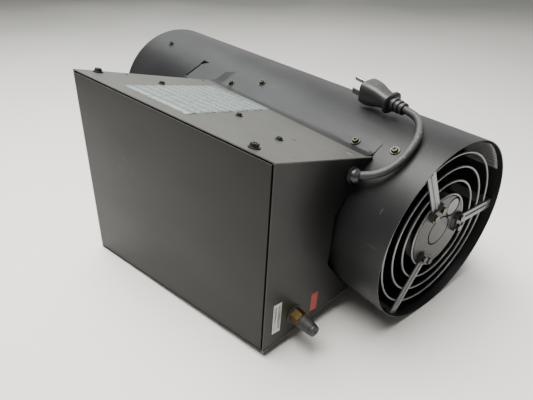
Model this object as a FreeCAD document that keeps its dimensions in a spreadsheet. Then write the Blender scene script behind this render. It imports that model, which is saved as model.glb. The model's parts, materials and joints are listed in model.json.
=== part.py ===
import FreeCAD, Part
import Sketcher
import math
import os

# A forced-air gas heater: a round tube with a fan at one end and a burner inside, on a wedge-shaped
# sheet-metal console. It lies on its side: the tube and one corner of the console touch the floor.
#
# Every piece is drawn in the heater's working frame and then laid down by restPlacement().
# Working frame: X along the tube towards the fan end, Z from the console's base up to the tube,
# Y across, origin on the tube's axis at half its length.

doc = FreeCAD.newDocument("gas_heater")
sheet = doc.addObject("Spreadsheet::Sheet", "Sizes")

SIZES = [
    ("tubeRadius", 106), ("tubeLength", 572), ("tubeGauge", 1),
    ("consoleLength", 287), ("rearSetback", 59.5), ("rearDrop", 192.5), ("frontDrop", 254),
    ("frontHalfWidth", 123.8), ("flankAngle", 12.13), ("panelGauge", 1.2), ("plateRecess", 0.6),
    ("skirtAngle", 62), ("skirtWidth", 19.5), ("skirtFrontReach", 57.5), ("skirtRearSetback", 2.5),
    ("apronWidth", 36), ("apronGap", 0.3), ("cornerLength", 30), ("cornerDrop", 15.5), ("plateTop", 64), ("gapShoulderDrop", 84),
    ("foldDrop", 68.2), ("foldFlange", 14), ("edgeGap", 1.2), ("trayFlange", 16), ("tubeFit", 0.3),
    ("windowAngle", 60.4), ("ductLength", 47), ("tongueAngle", 49),
    ("endFlange", 14), ("flangeTopDrop", 90), ("slotWidth", 3.4),
    ("slotLength", 9), ("airGapDrop", 110.5), ("airGapHalfWidth", 31), ("airGapShoulder", 66),
    ("armDepth", 6), ("armWidth", 12), ("armGauge", 1.6), ("armInner", 27), ("legLength", 52),
    ("wireRadius", 1.15), ("ringPitch", 15.6), ("firstRing", 43), ("mountRadius", 41.2),
    ("mountNotch", 12), ("bossRing", 18), ("bossRingWidth", 1.8), ("bossRingDepth", 1),
    ("clipWidth", 20), ("clipLength", 12), ("clipThick", 4), ("clipRadius", 34), ("nutAcross", 7),
    ("nutThick", 3), ("nutSpread", 6.2), ("motorRadius", 40), ("motorLength", 58), ("motorBoss", 16),
    ("motorBossLength", 6), ("shaftRadius", 4), ("shaftLength", 52), ("shaftFit", 0.05),
    ("leadBushingRadius", 9.6), ("leadBushingY", -24.4), ("leadBushingZ", 17.2),
    ("fanRadius", 97), ("fanHub", 20), ("fanHubLength", 16), ("fanBlades", 5), ("fanBladeGauge", 1.2),
    ("fanBladePitch", 24), ("fanBladeWidth", 46), ("fanGap", 6), ("shaftTail", 3),
    ("motorTaper", 4), ("motorStub", 5), ("motorBore", 25), ("ribRadius", 1.3), ("ribSetback", 14),
    ("chamberRadius", 81), ("chamberGauge", 1), ("chamberLength", 384), ("chamberSetback", 14),
    ("spacerWidth", 14), ("spacerGauge", 1.2), ("baffleRadius", 46), ("baffleGauge", 1.5),
    ("baffleSetback", 40), ("burnerRadius", 44), ("burnerLength", 58), ("burnerGauge", 1.2),
    ("burnerSetback", 46), ("burnerTaper", 0.55), ("burnerHoles", 12), ("burnerHoleRadius", 3.2),
    ("bracketWidth", 16), ("bracketGauge", 1.6), ("bracketFoot", 20), ("baffleDepth", 14),
    ("baffleLegWidth", 12), ("baffleLegGauge", 1.2), ("baffleFoot", 18), ("baffleTaper", 0.6),
    ("electrodeAngle", 25), ("electrodeTip", 22),
    ("nozzleRadius", 6), ("nozzleLength", 26), ("electrodeRadius", 1.3),
    ("ceramicRadius", 4.5), ("ceramicReach", 8), ("ceramicClearance", 15),
    ("inletY", 78), ("inletDrop", 152), ("inletThread", 6.6), ("inletHex", 14.2), ("inletHexLength", 11),
    ("inletReach", 30), ("inletInner", 26), ("grommetRadius", 11), ("grommetThick", 3),
    ("capRadius", 7.8), ("capEndRadius", 5.6), ("capLength", 19), ("capFit", 0.05),
    ("valveLength", 46), ("valveWidth", 30), ("valveHeight", 34), ("pipeRadius", 4),
    ("coilRadius", 11), ("coilHeight", 26), ("moduleLength", 84), ("moduleWidth", 60), ("moduleHeight", 28),
    ("moduleSetback", 60), ("moduleRound", 3), ("controlRadius", 12), ("controlDepth", 20),
    ("switchDepth", 18),
    ("cordRadius", 4), ("cordExitY", -72.4), ("cordExitDrop", 96.3), ("bushingRadius", 8),
    ("bushingReach", 7), ("bushingCollar", 1.6), ("plugRoll", 6),
    ("plugLength", 36), ("plugWidth", 26), ("plugRound", 4), ("tailLength", 20), ("tailStart", 5.2),
    ("tailEnd", 8), ("bladeLength", 16.5), ("bladeGauge", 1.5), ("bladeWidth", 6.3), ("bladeSpread", 6.35),
    ("bladeDrop", 6.7), ("pinRadius", 2.4), ("pinLength", 18), ("pinRise", 8.4),
    ("knobRadius", 14), ("knobHeight", 11), ("knobX", 190), ("knobDrop", 104), ("spindleRadius", 3),
    ("spindleFit", 0.05), ("switchX", 250), ("switchDrop", 104), ("switchWidth", 13),
    ("switchLength", 21), ("switchBezel", 1.8), ("rockerFit", 0.4), ("rockerPin", 1.2),
    ("bigScrewHex", 7), ("bigScrewWasher", 5), ("bigScrewHead", 3.2), ("smallScrewHex", 5.4),
    ("smallScrewWasher", 3.4), ("smallScrewHead", 2.6), ("screwShank", 1.9), ("screwReach", 6),
    ("frontScrewInset", 7), ("frontScrewLift", 24), ("rearScrewInset", 34.5), ("rearScrewLift", 11.5),
    ("labelGauge", 0.15), ("ratingWidth", 104), ("ratingHeight", 142),
    ("barcodeWidth", 10.5), ("barcodeHeight", 40), ("stickerWidth", 9.5), ("stickerHeight", 25),
    ("ratingX", 249.5), ("ratingDrop", 144.5), ("barcodeY", 71), ("barcodeDrop", 177), ("stickerY", 76.5),
    ("stickerDrop", 124),
]
for row, (alias, value) in enumerate(SIZES, start=1):
    sheet.set("A%d" % row, alias)
    sheet.set("B%d" % row, str(value))
    sheet.setAlias("B%d" % row, alias)
doc.recompute()


def size(alias):
    return float(sheet.get(alias))


def tiltRatio():
    """Drop gained by the base plate per millimetre towards the front."""
    return (size("frontDrop") - size("rearDrop")) / size("consoleLength")


def restPlacement():
    """Lay the heater on its side: the tube and the console's front corner touch the floor."""
    corner = math.hypot(size("frontHalfWidth"), size("frontDrop"))
    lean = math.atan2(size("frontHalfWidth"), size("frontDrop")) - math.asin(size("tubeRadius") / corner)
    reach = size("frontDrop") * math.cos(lean) + size("frontHalfWidth") * math.sin(lean)
    turn = FreeCAD.Rotation(FreeCAD.Vector(1, 0, 0), -(90 + math.degrees(lean)))
    shift = FreeCAD.Vector(0, (reach - size("tubeRadius")) / 2, size("tubeRadius"))
    return FreeCAD.Placement(shift, turn)


REST = restPlacement()
nodes = []

# Places along the tube, as expressions: the fan end, and the outer faces of the two end plates.
FAN_END = "(Sizes.tubeLength / 2)"
REAR = "(Sizes.tubeLength / 2 - Sizes.rearSetback)"
FRONT = "(Sizes.tubeLength / 2 - Sizes.rearSetback - Sizes.consoleLength)"
FLANGE_SETBACK = "(2 * Sizes.panelGauge + Sizes.plateRecess)"
TILT = "((Sizes.frontDrop - Sizes.rearDrop) / Sizes.consoleLength)"


def flank(drop, inset="0"):
    """Half-width of the console at a drop below the axis, moved square inwards by inset."""
    slope = "(Sizes.frontDrop - (%s)) * tan(Sizes.flankAngle)" % drop
    return "(Sizes.frontHalfWidth - %s - (%s) / cos(Sizes.flankAngle))" % (slope, inset)


def baseLine(x, inset="0"):
    """Height of the tilted base plane at x, moved up by inset."""
    return "(-Sizes.rearDrop - (%s - (%s)) * %s + (%s))" % (REAR, x, TILT, inset)


def skirtPoint(across, along, side):
    """A point of the line that leaves the tube at the skirt angle: across from the axis, along it down."""
    y = "(%d * ((%s) * sin(Sizes.skirtAngle) - (%s) * cos(Sizes.skirtAngle)))" % (side, across, along)
    z = "(-(%s) * cos(Sizes.skirtAngle) - (%s) * sin(Sizes.skirtAngle))" % (across, along)
    return y, z


def flankNumbers(drop):
    return size("frontHalfWidth") - (size("frontDrop") - drop) * math.tan(math.radians(size("flankAngle")))


# ---------------------------------------------------------------- drawing helpers

def newBody(name, local=None):
    body = doc.addObject("PartDesign::Body", name)
    body.Label = name
    body.Placement = REST.multiply(local) if local else REST
    nodes.append(body)
    return body


def newSketch(body, role, offset="0"):
    sketch = body.newObject("Sketcher::SketchObject", body.Name + "_sketch")
    plane = [item for item in body.Origin.OriginFeatures if item.Role == role][0]
    sketch.AttachmentSupport = [(plane, "")]
    sketch.MapMode = "FlatFace"
    sketch.setExpression("AttachmentOffset.Base.z", offset)
    return sketch


def bind(sketch, kind, first, point, expression, start=1.0):
    if kind == "Radius":
        index = sketch.addConstraint(Sketcher.Constraint(kind, first, start))
    else:
        index = sketch.addConstraint(Sketcher.Constraint(kind, -1, 1, first, point, start))
    sketch.setExpression("Constraints[%d]" % index, expression)


def drawOutline(sketch, points):
    """A closed outline: each corner's two coordinates are bound to an expression."""
    count = len(points)
    base = sketch.GeometryCount
    for i in range(count):
        a, b = 2 * math.pi * i / count, 2 * math.pi * (i + 1) / count
        start, end = (FreeCAD.Vector(50 * math.cos(t), 50 * math.sin(t), 0) for t in (a, b))
        sketch.addGeometry(Part.LineSegment(start, end), False)
    for i in range(count):
        sketch.addConstraint(Sketcher.Constraint("Coincident", base + i, 2, base + (i + 1) % count, 1))
    for i, (across, up) in enumerate(points):
        bind(sketch, "DistanceX", base + i, 1, across)
        bind(sketch, "DistanceY", base + i, 1, up)


def drawCircle(sketch, radius, across="0", up="0"):
    index = sketch.addGeometry(Part.Circle(FreeCAD.Vector(0, 0, 0), FreeCAD.Vector(0, 0, 1), 5), False)
    bind(sketch, "DistanceX", index, 3, across)
    bind(sketch, "DistanceY", index, 3, up)
    bind(sketch, "Radius", index, 0, radius, 5.0)


def pad(body, sketch, length, symmetric=False):
    feature = body.newObject("PartDesign::Pad", body.Name + "_pad")
    feature.Profile = sketch
    feature.setExpression("Length", length)
    if symmetric:
        feature.SideType = "Symmetric"
    body.Tip = feature
    return feature


def pocket(body, sketch, length, symmetric=False, backwards=False):
    feature = body.newObject("PartDesign::Pocket", body.Name + "_pocket")
    feature.Profile = sketch
    feature.setExpression("Length", length)
    feature.Reversed = backwards
    if symmetric:
        feature.SideType = "Symmetric"
    body.Tip = feature
    return feature


def turned(name, profile, local=None):
    """A turned piece: an outline of (x, radius) corners revolved about its own X axis."""
    body = newBody(name, local)
    sketch = newSketch(body, "XZ_Plane")
    drawOutline(sketch, profile)
    feature = body.newObject("PartDesign::Revolution", name + "_turn")
    feature.Profile = sketch
    feature.ReferenceAxis = (sketch, ["H_Axis"])
    feature.Angle = 360
    body.Tip = feature
    return body


def placed(name, shape, local=None):
    """A piece whose shape is worked out below, in the working frame or in a local frame of it."""
    feature = doc.addObject("Part::Feature", name)
    feature.Label = name
    own = shape.Placement
    feature.Shape = shape
    feature.Placement = REST.multiply(local).multiply(own) if local else REST.multiply(own)
    nodes.append(feature)
    return feature


def seat(x, y, z, direction=(1, 0, 0)):
    """A local frame whose X axis points along direction."""
    turn = FreeCAD.Rotation(FreeCAD.Vector(1, 0, 0), FreeCAD.Vector(*direction))
    return FreeCAD.Placement(FreeCAD.Vector(x, y, z), turn)


def rod(start, end, radius):
    axis = end.sub(start)
    return Part.makeCylinder(radius, axis.Length, start, axis)


def hexBar(start, direction, across, length):
    """A hexagonal bar by its size across flats."""
    unit = FreeCAD.Vector(*direction).normalize()
    side = unit.cross(FreeCAD.Vector(0, 0, 1) if abs(unit.z) < 0.9 else FreeCAD.Vector(1, 0, 0)).normalize()
    other = unit.cross(side)
    radius = across / math.sqrt(3)
    corners = [start + side * radius * math.cos(i * math.pi / 3) + other * radius * math.sin(i * math.pi / 3)
               for i in range(7)]
    return Part.Face(Part.makePolygon(corners)).extrude(unit * length)


def screw(point, outward, hexAcross, washer, head):
    """A hex head with a washer flange, and a short shank that goes inwards."""
    flange = head * 0.35
    out = FreeCAD.Vector(*outward).normalize()
    body = Part.makeCylinder(washer, flange, point, out)
    body = body.fuse(hexBar(point + out * flange, out, hexAcross, head - flange))
    shank = Part.makeCylinder(size("screwShank"), size("screwReach"), point, out * -1)
    return body.fuse(shank).removeSplitter()


def smallScrew(point, outward):
    return screw(point, outward, size("smallScrewHex"), size("smallScrewWasher"), size("smallScrewHead"))


def bigScrew(point, outward):
    return screw(point, outward, size("bigScrewHex"), size("bigScrewWasher"), size("bigScrewHead"))


def trimBelow(body):
    """Cut away everything below the tilted base plane."""
    trim = newSketch(body, "XZ_Plane")
    left, right, deep = FRONT + " - 5", REAR + " + 5", "-1.2 * Sizes.frontDrop"
    drawOutline(trim, [(left, baseLine(left)), (right, baseLine(right)), (right, deep), (left, deep)])
    pocket(body, trim, "4 * Sizes.frontHalfWidth", symmetric=True)


# ---------------------------------------------------------------- tube

def beyondTube(angle):
    """A point well outside the tube, at an angle from the direction of the console."""
    return "(2 * Sizes.tubeRadius * sin(%s))" % angle, "(-2 * Sizes.tubeRadius * cos(%s))" % angle


def flatStrip(body, side, width, length):
    """A flat strip that leaves the tube at the skirt angle, from the skirt's front end towards the fan."""
    inner = "Sizes.tubeRadius - Sizes.tubeGauge"
    strip = newSketch(body, "YZ_Plane", FRONT + " - Sizes.skirtFrontReach")
    drawOutline(strip, [skirtPoint("Sizes.tubeRadius", "0", side), skirtPoint("Sizes.tubeRadius", width, side),
                        skirtPoint(inner, width, side), skirtPoint(inner, "0", side)])
    pad(body, strip, length)


def makeOuterTube():
    """A rolled tube, open over the console, with two flat skirts, wide in front and cut away at the rear."""
    body = newBody("outer_tube")
    ring = newSketch(body, "YZ_Plane", "-" + FAN_END)
    drawCircle(ring, "Sizes.tubeRadius")
    drawCircle(ring, "Sizes.tubeRadius - Sizes.tubeGauge")
    pad(body, ring, "Sizes.tubeLength")
    window = newSketch(body, "YZ_Plane", REAR + " - " + FLANGE_SETBACK + " + Sizes.tubeFit")
    wide, low = beyondTube("Sizes.windowAngle")
    inner, deep = beyondTube("Sizes.tongueAngle")
    drawOutline(window, [("0", "0"), ("-" + wide, low), ("-" + inner, deep)])
    drawOutline(window, [("0", "-0.001"), (inner, deep), (wide, low)])
    pocket(body, window, "Sizes.ductLength")
    behindDuct = REAR + " - " + FLANGE_SETBACK + " + Sizes.tubeFit - Sizes.ductLength"
    opening = newSketch(body, "YZ_Plane", behindDuct)
    drawOutline(opening, [("0", "0"), ("-" + wide, low), ("0", "-3 * Sizes.tubeRadius"), (wide, low)])
    length = "Sizes.consoleLength - 2 * %s + 2 * Sizes.tubeFit - Sizes.ductLength" % FLANGE_SETBACK
    pocket(body, opening, length)
    for side in (-1, 1):
        flatStrip(body, side, "Sizes.skirtWidth",
                  "Sizes.consoleLength + Sizes.skirtFrontReach - Sizes.skirtRearSetback")
        flatStrip(body, side, "Sizes.apronWidth", "Sizes.skirtFrontReach - Sizes.apronGap")
    slot = newSketch(body, "XZ_Plane", "0")
    left = FRONT + " - Sizes.skirtFrontReach"
    drawOutline(slot, [(left, "-Sizes.tubeRadius * cos(Sizes.skirtAngle) + Sizes.slotWidth"),
                       (left + " + Sizes.slotLength", "-Sizes.tubeRadius * cos(Sizes.skirtAngle)"),
                       (left, "-Sizes.tubeRadius * cos(Sizes.skirtAngle)")])
    pocket(body, slot, "3 * Sizes.tubeRadius", symmetric=True)
    corner = newSketch(body, "XZ_Plane", "0")
    end, high = REAR + " - Sizes.skirtRearSetback", "-Sizes.tubeRadius * cos(Sizes.windowAngle)"
    drawOutline(corner, [(end + " - Sizes.cornerLength", high), (end, high), (end, high + " - Sizes.cornerDrop")])
    pocket(body, corner, "3 * Sizes.tubeRadius", symmetric=True)


def makeChamber():
    start = "(-%s + Sizes.chamberSetback)" % FAN_END
    end = "(-%s + Sizes.chamberSetback + Sizes.chamberLength)" % FAN_END
    outer, inner = "Sizes.chamberRadius", "Sizes.chamberRadius - Sizes.chamberGauge"
    turned("combustion_chamber", [(start, inner), (start, outer), (end, outer), (end, inner)])


def spacer(x, angle):
    """A bent strap from the chamber out to the tube; the angle is counted from the console side."""
    inner, outer = size("chamberRadius"), size("tubeRadius") - size("tubeGauge")
    half, gauge = size("spacerWidth") / 2, size("spacerGauge")
    edge = math.sqrt(outer ** 2 - half ** 2)
    foot = math.sqrt(inner ** 2 + half ** 2)
    width, start = size("spacerWidth"), x - half
    strap = Part.makeBox(width, gauge, edge - inner, FreeCAD.Vector(start, -gauge / 2, inner))
    top = Part.makeBox(width, width, gauge, FreeCAD.Vector(start, -half, edge - gauge))
    base = Part.makeBox(width, width, gauge, FreeCAD.Vector(start, -half, foot - 0.2))
    core = Part.makeCylinder(inner, width, FreeCAD.Vector(start, 0, 0), FreeCAD.Vector(1, 0, 0))
    piece = strap.fuse([top, base]).cut(core).removeSplitter()
    piece.rotate(FreeCAD.Vector(0, 0, 0), FreeCAD.Vector(1, 0, 0), 180 + angle)
    return piece


def onTube(x, angle):
    """A point on the tube and its outward direction; the angle is counted from the console side to +Y."""
    out = FreeCAD.Vector(0, math.sin(math.radians(angle)), -math.cos(math.radians(angle)))
    return FreeCAD.Vector(x, 0, 0) + out * size("tubeRadius"), out


# Rows of tube screws: distance from the fan end and the angle from the console side.
TUBE_SCREWS = [(46.5, 60), (270, 66), (514, 66)]
SKIRT_SCREWS = (89, 314)
# Side panel screws: distance from the fan end and the drop below the axis.
PANEL_SCREWS = ((304, 167.3), (184, 140.3), (111.6, 145.6))


def makeTubeHardware():
    half = size("tubeLength") / 2
    spacers, screws = [], []
    for distance, angle in TUBE_SCREWS:
        for turn in (-angle, angle, 180):
            point, out = onTube(half - distance, turn)
            screws.append(bigScrew(point, out))
            if distance > size("legLength") + 50:
                spacers.append(spacer(half - distance, turn))
    lean = math.radians(size("skirtAngle"))
    for side in (-1, 1):
        out = FreeCAD.Vector(0, side * math.sin(lean), -math.cos(lean))
        down = FreeCAD.Vector(0, -side * math.cos(lean), -math.sin(lean))
        for distance in SKIRT_SCREWS:
            point = out * size("tubeRadius") + down * (size("skirtWidth") * 0.66)
            screws.append(bigScrew(FreeCAD.Vector(half - distance, 0, 0) + point, out))
    placed("chamber_spacers", Part.makeCompound(spacers))
    placed("tube_screws", Part.makeCompound(screws))


# ---------------------------------------------------------------- console

def makeSidePanel(name, side):
    """A sloping side with a joggled flange that lies behind the tube's skirt, trimmed at the base."""
    body = newBody(name)
    flat = newSketch(body, "YZ_Plane", FRONT)
    low = "Sizes.frontDrop + 10"
    sign = "%d * " % side
    drawOutline(flat, [(sign + flank(low), "-(%s)" % low), (sign + flank("Sizes.foldDrop"), "-Sizes.foldDrop"),
                       (sign + flank("Sizes.foldDrop", "Sizes.panelGauge"), "-Sizes.foldDrop"),
                       (sign + flank(low, "Sizes.panelGauge"), "-(%s)" % low)])
    pad(body, flat, "Sizes.consoleLength")
    flange = newSketch(body, "YZ_Plane", FRONT + " + " + FLANGE_SETBACK)
    outer = "Sizes.tubeRadius - Sizes.tubeGauge"
    inner = "Sizes.tubeRadius - Sizes.tubeGauge - Sizes.panelGauge"
    top = "Sizes.skirtWidth - Sizes.foldFlange"
    drawOutline(flange, [skirtPoint(outer, top, side), skirtPoint(inner, top, side),
                         skirtPoint(inner, "Sizes.skirtWidth + 1", side),
                         (sign + flank("Sizes.foldDrop + 3", "Sizes.panelGauge"), "-Sizes.foldDrop - 3"),
                         (sign + flank("Sizes.foldDrop"), "-Sizes.foldDrop"),
                         skirtPoint(outer, "Sizes.skirtWidth", side)])
    pad(body, flange, "Sizes.consoleLength - 2 * " + FLANGE_SETBACK)
    trimBelow(body)
    if side > 0:
        controlHoles(body)
    return body


def controlHoles(body):
    """A round hole for the knob's spindle and a rectangular one for the rocker switch."""
    spindle = newSketch(body, "XZ_Plane")
    drawCircle(spindle, "Sizes.spindleRadius + 1.2", FAN_END + " - Sizes.knobX", "-Sizes.knobDrop")
    pocket(body, spindle, "2 * Sizes.frontHalfWidth")
    opening = newSketch(body, "XZ_Plane")
    long, high = "(Sizes.switchLength / 2 + Sizes.rockerFit)", "(Sizes.switchWidth / 2 + 2 * Sizes.rockerFit)"
    middle = FAN_END + " - Sizes.switchX"
    drawOutline(opening, [(middle + " - " + long, "-Sizes.switchDrop - " + high),
                          (middle + " + " + long, "-Sizes.switchDrop - " + high),
                          (middle + " + " + long, "-Sizes.switchDrop + " + high),
                          (middle + " - " + long, "-Sizes.switchDrop + " + high)])
    pocket(body, opening, "2 * Sizes.frontHalfWidth")


def makeEndPlate(name, outerFace, inwards, airGap):
    """An end plate between the side panels, cut round the tube, with flanges for the side panels."""
    body = newBody(name)
    gauge = "Sizes.panelGauge"
    low = "Sizes.frontDrop + 10"
    offset = outerFace if inwards > 0 else "%s - %s" % (outerFace, gauge)
    plate = newSketch(body, "YZ_Plane", offset)
    drawOutline(plate, [("-" + flank(low, gauge), "-(%s)" % low), (flank(low, gauge), "-(%s)" % low),
                        (flank("Sizes.plateTop", gauge), "-Sizes.plateTop"),
                        ("-" + flank("Sizes.plateTop", gauge), "-Sizes.plateTop")])
    pad(body, plate, gauge)
    for side in ("-1 * ", ""):
        reach = "%s + %s" % (outerFace, gauge)
        if inwards < 0:
            reach = "%s - %s - Sizes.endFlange" % (outerFace, gauge)
        flange = newSketch(body, "YZ_Plane", reach)
        top, inner = "Sizes.flangeTopDrop", "2 * Sizes.panelGauge"
        drawOutline(flange, [(side + flank(low, gauge), "-(%s)" % low), (side + flank(top, gauge), "-" + top),
                             (side + flank(top, inner), "-" + top), (side + flank(low, inner), "-(%s)" % low)])
        pad(body, flange, "Sizes.endFlange")
    trimBelow(body)
    hole = newSketch(body, "YZ_Plane", "0")
    drawCircle(hole, "Sizes.tubeRadius + Sizes.tubeFit")
    pocket(body, hole, "2 * Sizes.tubeLength", symmetric=True)
    if airGap:
        gap = newSketch(body, "YZ_Plane", "0")
        wide, low, high = "Sizes.airGapShoulder", "-Sizes.airGapDrop", "-Sizes.gapShoulderDrop"
        drawOutline(gap, [("-" + wide, high), ("-Sizes.airGapHalfWidth", low), ("Sizes.airGapHalfWidth", low),
                          (wide, high), ("0", "-Sizes.plateTop")])
        pocket(body, gap, "2 * Sizes.tubeLength", symmetric=True)
        inlet = newSketch(body, "YZ_Plane", "0")
        drawCircle(inlet, "Sizes.grommetRadius - 2.5", "Sizes.inletY", "-Sizes.inletDrop")
        pocket(body, inlet, "2 * Sizes.tubeLength", symmetric=True)
        cord = newSketch(body, "YZ_Plane", "0")
        drawCircle(cord, "Sizes.bushingRadius - 1.5", "Sizes.cordExitY", "-Sizes.cordExitDrop")
        pocket(body, cord, "2 * Sizes.tubeLength", symmetric=True)
    return body


def makeBasePlate():
    """A shallow tray: a sheet on the tilted base plane with flanges along the two sides."""
    body = newBody("base_plate")
    gap = "(2 * Sizes.panelGauge)"
    inset = "(Sizes.plateRecess + Sizes.panelGauge + Sizes.edgeGap)"
    low = "Sizes.frontDrop + 10"
    start = "%s + %s" % (FRONT, inset)
    end = "%s - %s" % (REAR, inset)
    length = "Sizes.consoleLength - 2 * %s" % inset
    for side in ("-1 * ", ""):
        strip = newSketch(body, "YZ_Plane", start)
        high, inner = "Sizes.foldDrop + 20", gap + " + Sizes.panelGauge"
        drawOutline(strip, [(side + flank(low, gap), "-(%s)" % low), (side + flank(high, gap), "-(%s)" % high),
                            (side + flank(high, inner), "-(%s)" % high),
                            (side + flank(low, inner), "-(%s)" % low)])
        pad(body, strip, length)
        if side == "-1 * ":
            joinSheet(body, start, end)
    trimBelow(body)
    above = newSketch(body, "XZ_Plane")
    left, right = FRONT + " - 5", REAR + " + 5"
    drawOutline(above, [(left, baseLine(left, "Sizes.trayFlange")), (right, baseLine(right, "Sizes.trayFlange")),
                        (right, "0"), (left, "0")])
    pocket(body, above, "4 * Sizes.frontHalfWidth", symmetric=True)
    for side in ("-1 * ", ""):
        outside = newSketch(body, "YZ_Plane", "0")
        drawOutline(outside, [(side + flank(low, gap), "-(%s)" % low), (side + flank("0", gap), "0"),
                              (side + "(3 * Sizes.frontHalfWidth)", "0"),
                              (side + "(3 * Sizes.frontHalfWidth)", "-(%s)" % low)])
        pocket(body, outside, "2 * Sizes.tubeLength", symmetric=True)
    return body


def joinSheet(body, start, end):
    """The sheet of the tray, from side to side."""
    thick = "Sizes.panelGauge / cos(atan(%s))" % TILT
    sheetSketch = newSketch(body, "XZ_Plane")
    drawOutline(sheetSketch, [(start, baseLine(start)), (end, baseLine(end)), (end, baseLine(end, thick)),
                              (start, baseLine(start, thick))])
    pad(body, sheetSketch, "2 * Sizes.frontHalfWidth + 20", symmetric=True)


def onFlank(x, drop, side):
    """A point on a side panel's outer face and the outward direction."""
    lean = math.radians(size("flankAngle"))
    out = FreeCAD.Vector(0, side * math.cos(lean), math.sin(lean))
    return FreeCAD.Vector(x, side * flankNumbers(drop), -drop), out


def makePanelHardware():
    """Large screws hold the base tray to the sides; small ones hold the sides and what is behind them."""
    half = size("tubeLength") / 2
    big, small = [], []
    for side in (-1, 1):
        rear = half - size("rearSetback")
        for x, lift in ((rear - size("consoleLength") + size("frontScrewInset"), size("frontScrewLift")),
                        (rear - size("rearScrewInset"), size("rearScrewLift"))):
            drop = size("rearDrop") + (rear - x) * tiltRatio() - lift
            big.append(bigScrew(*onFlank(x, drop, side)))
        for distance, drop in PANEL_SCREWS:
            small.append(smallScrew(*onFlank(half - distance, drop, side)))
    placed("base_screws", Part.makeCompound(big))
    placed("panel_screws", Part.makeCompound(small))


# ---------------------------------------------------------------- fan end

ARM_ANGLES = (-60, 60, 180)


def armFace():
    """X of the outer face of the mounting disc, on which the arms lie."""
    return size("tubeLength") / 2 - size("armDepth") - size("armGauge")


def makeArm(name, angle):
    """A ribbed flat arm from the mounting disc to the tube, with a leg that runs in along the tube."""
    width, gauge = size("armWidth"), size("armGauge")
    inside = size("tubeRadius") - size("tubeGauge")
    edge = math.sqrt(inside ** 2 - (width / 2) ** 2) - 0.05
    face = armFace()
    inner, length = size("armInner"), size("legLength")
    radial = Part.makeBox(gauge, width, edge - inner, FreeCAD.Vector(face, -width / 2, inner))
    leg = Part.makeBox(length, width, gauge, FreeCAD.Vector(face + gauge - length, -width / 2, edge - gauge))
    ribStart = inner + size("ribSetback")
    rib = Part.makeCylinder(size("ribRadius"), edge - ribStart - 10,
                            FreeCAD.Vector(face + gauge, 0, ribStart), FreeCAD.Vector(0, 0, 1))
    ribBox = Part.makeBox(gauge + 2, width, edge, FreeCAD.Vector(face, -width / 2, 0))
    arm = radial.fuse([leg, rib.common(ribBox)]).removeSplitter()
    arm.rotate(FreeCAD.Vector(0, 0, 0), FreeCAD.Vector(1, 0, 0), 180 + angle)
    placed(name, arm)


def makeGuardRings():
    x = armFace() - size("wireRadius")
    rings = [Part.makeTorus(size("firstRing") + i * size("ringPitch"), size("wireRadius"),
                            FreeCAD.Vector(x, 0, 0), FreeCAD.Vector(1, 0, 0)) for i in range(4)]
    placed("guard_rings", Part.makeCompound(rings))


def makeMountDisc():
    """The disc that carries the motor, notched round the lead bushing, with a pressed ring."""
    body = newBody("motor_mount_disc")
    face = "(%s - Sizes.armDepth - 2 * Sizes.armGauge)" % FAN_END
    disc = newSketch(body, "YZ_Plane", face)
    drawCircle(disc, "Sizes.mountRadius")
    pad(body, disc, "Sizes.armGauge")
    notch = newSketch(body, "YZ_Plane", "0")
    drawCircle(notch, "Sizes.mountNotch", "Sizes.leadBushingY", "Sizes.leadBushingZ")
    pocket(body, notch, "2 * Sizes.tubeLength", symmetric=True)
    groove = newSketch(body, "YZ_Plane", face + " + Sizes.armGauge - Sizes.bossRingDepth")
    drawCircle(groove, "Sizes.bossRing")
    drawCircle(groove, "Sizes.bossRing - Sizes.bossRingWidth")
    pocket(body, groove, "2 * Sizes.bossRingDepth", backwards=True)


def makeClips():
    """Moulded clips that hold the arms' inner ends on the disc, with two nuts each."""
    clips, nuts = [], []
    face = armFace()
    wide, long, thick = size("clipWidth"), size("clipLength"), size("clipThick")
    for angle in ARM_ANGLES:
        block = Part.makeBox(thick, wide, long, FreeCAD.Vector(face, -wide / 2, size("clipRadius") - long / 2))
        slot = Part.makeBox(size("armGauge") * 2, size("armWidth") + 0.2, long * 2,
                            FreeCAD.Vector(face - size("armGauge"), -size("armWidth") / 2 - 0.1,
                                           size("clipRadius") - long))
        pair = [hexBar(FreeCAD.Vector(face + thick, side * size("nutSpread"), size("clipRadius")), (1, 0, 0),
                       size("nutAcross"), size("nutThick")) for side in (-1, 1)]
        for shape in [block.cut(slot)] + pair:
            shape.rotate(FreeCAD.Vector(0, 0, 0), FreeCAD.Vector(1, 0, 0), 180 + angle)
            (nuts if shape in pair else clips).append(shape)
    placed("mount_clips", Part.makeCompound(clips))
    placed("mount_nuts", Part.makeCompound(nuts))


def makeMotor():
    front = "(%s - Sizes.armDepth - 2 * Sizes.armGauge)" % FAN_END
    shell = "(%s - Sizes.motorBossLength)" % front
    back = "(%s - Sizes.motorLength)" % shell
    bore = "(Sizes.shaftRadius + Sizes.shaftFit)"
    stub, deep = back + " - Sizes.motorStub", back + " + Sizes.motorBore"
    neck, taper = "Sizes.motorBoss - 3", "Sizes.motorRadius - Sizes.motorTaper"
    turned("fan_motor", [(stub, bore), (stub, neck), (back, neck), (back, taper),
                         (back + " + Sizes.motorTaper", "Sizes.motorRadius"),
                         (shell + " - Sizes.motorTaper", "Sizes.motorRadius"), (shell, taper),
                         (shell, "Sizes.motorBoss"), (front, "Sizes.motorBoss"), (front, "0"),
                         (deep, "0"), (deep, bore)])
    end, y, z = armFace(), size("leadBushingY"), size("leadBushingZ")
    start = FreeCAD.Vector(end - size("armGauge") - size("motorBossLength"), y, z)
    placed("lead_bushing", rod(start, FreeCAD.Vector(end, y, z), size("leadBushingRadius")))


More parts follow.
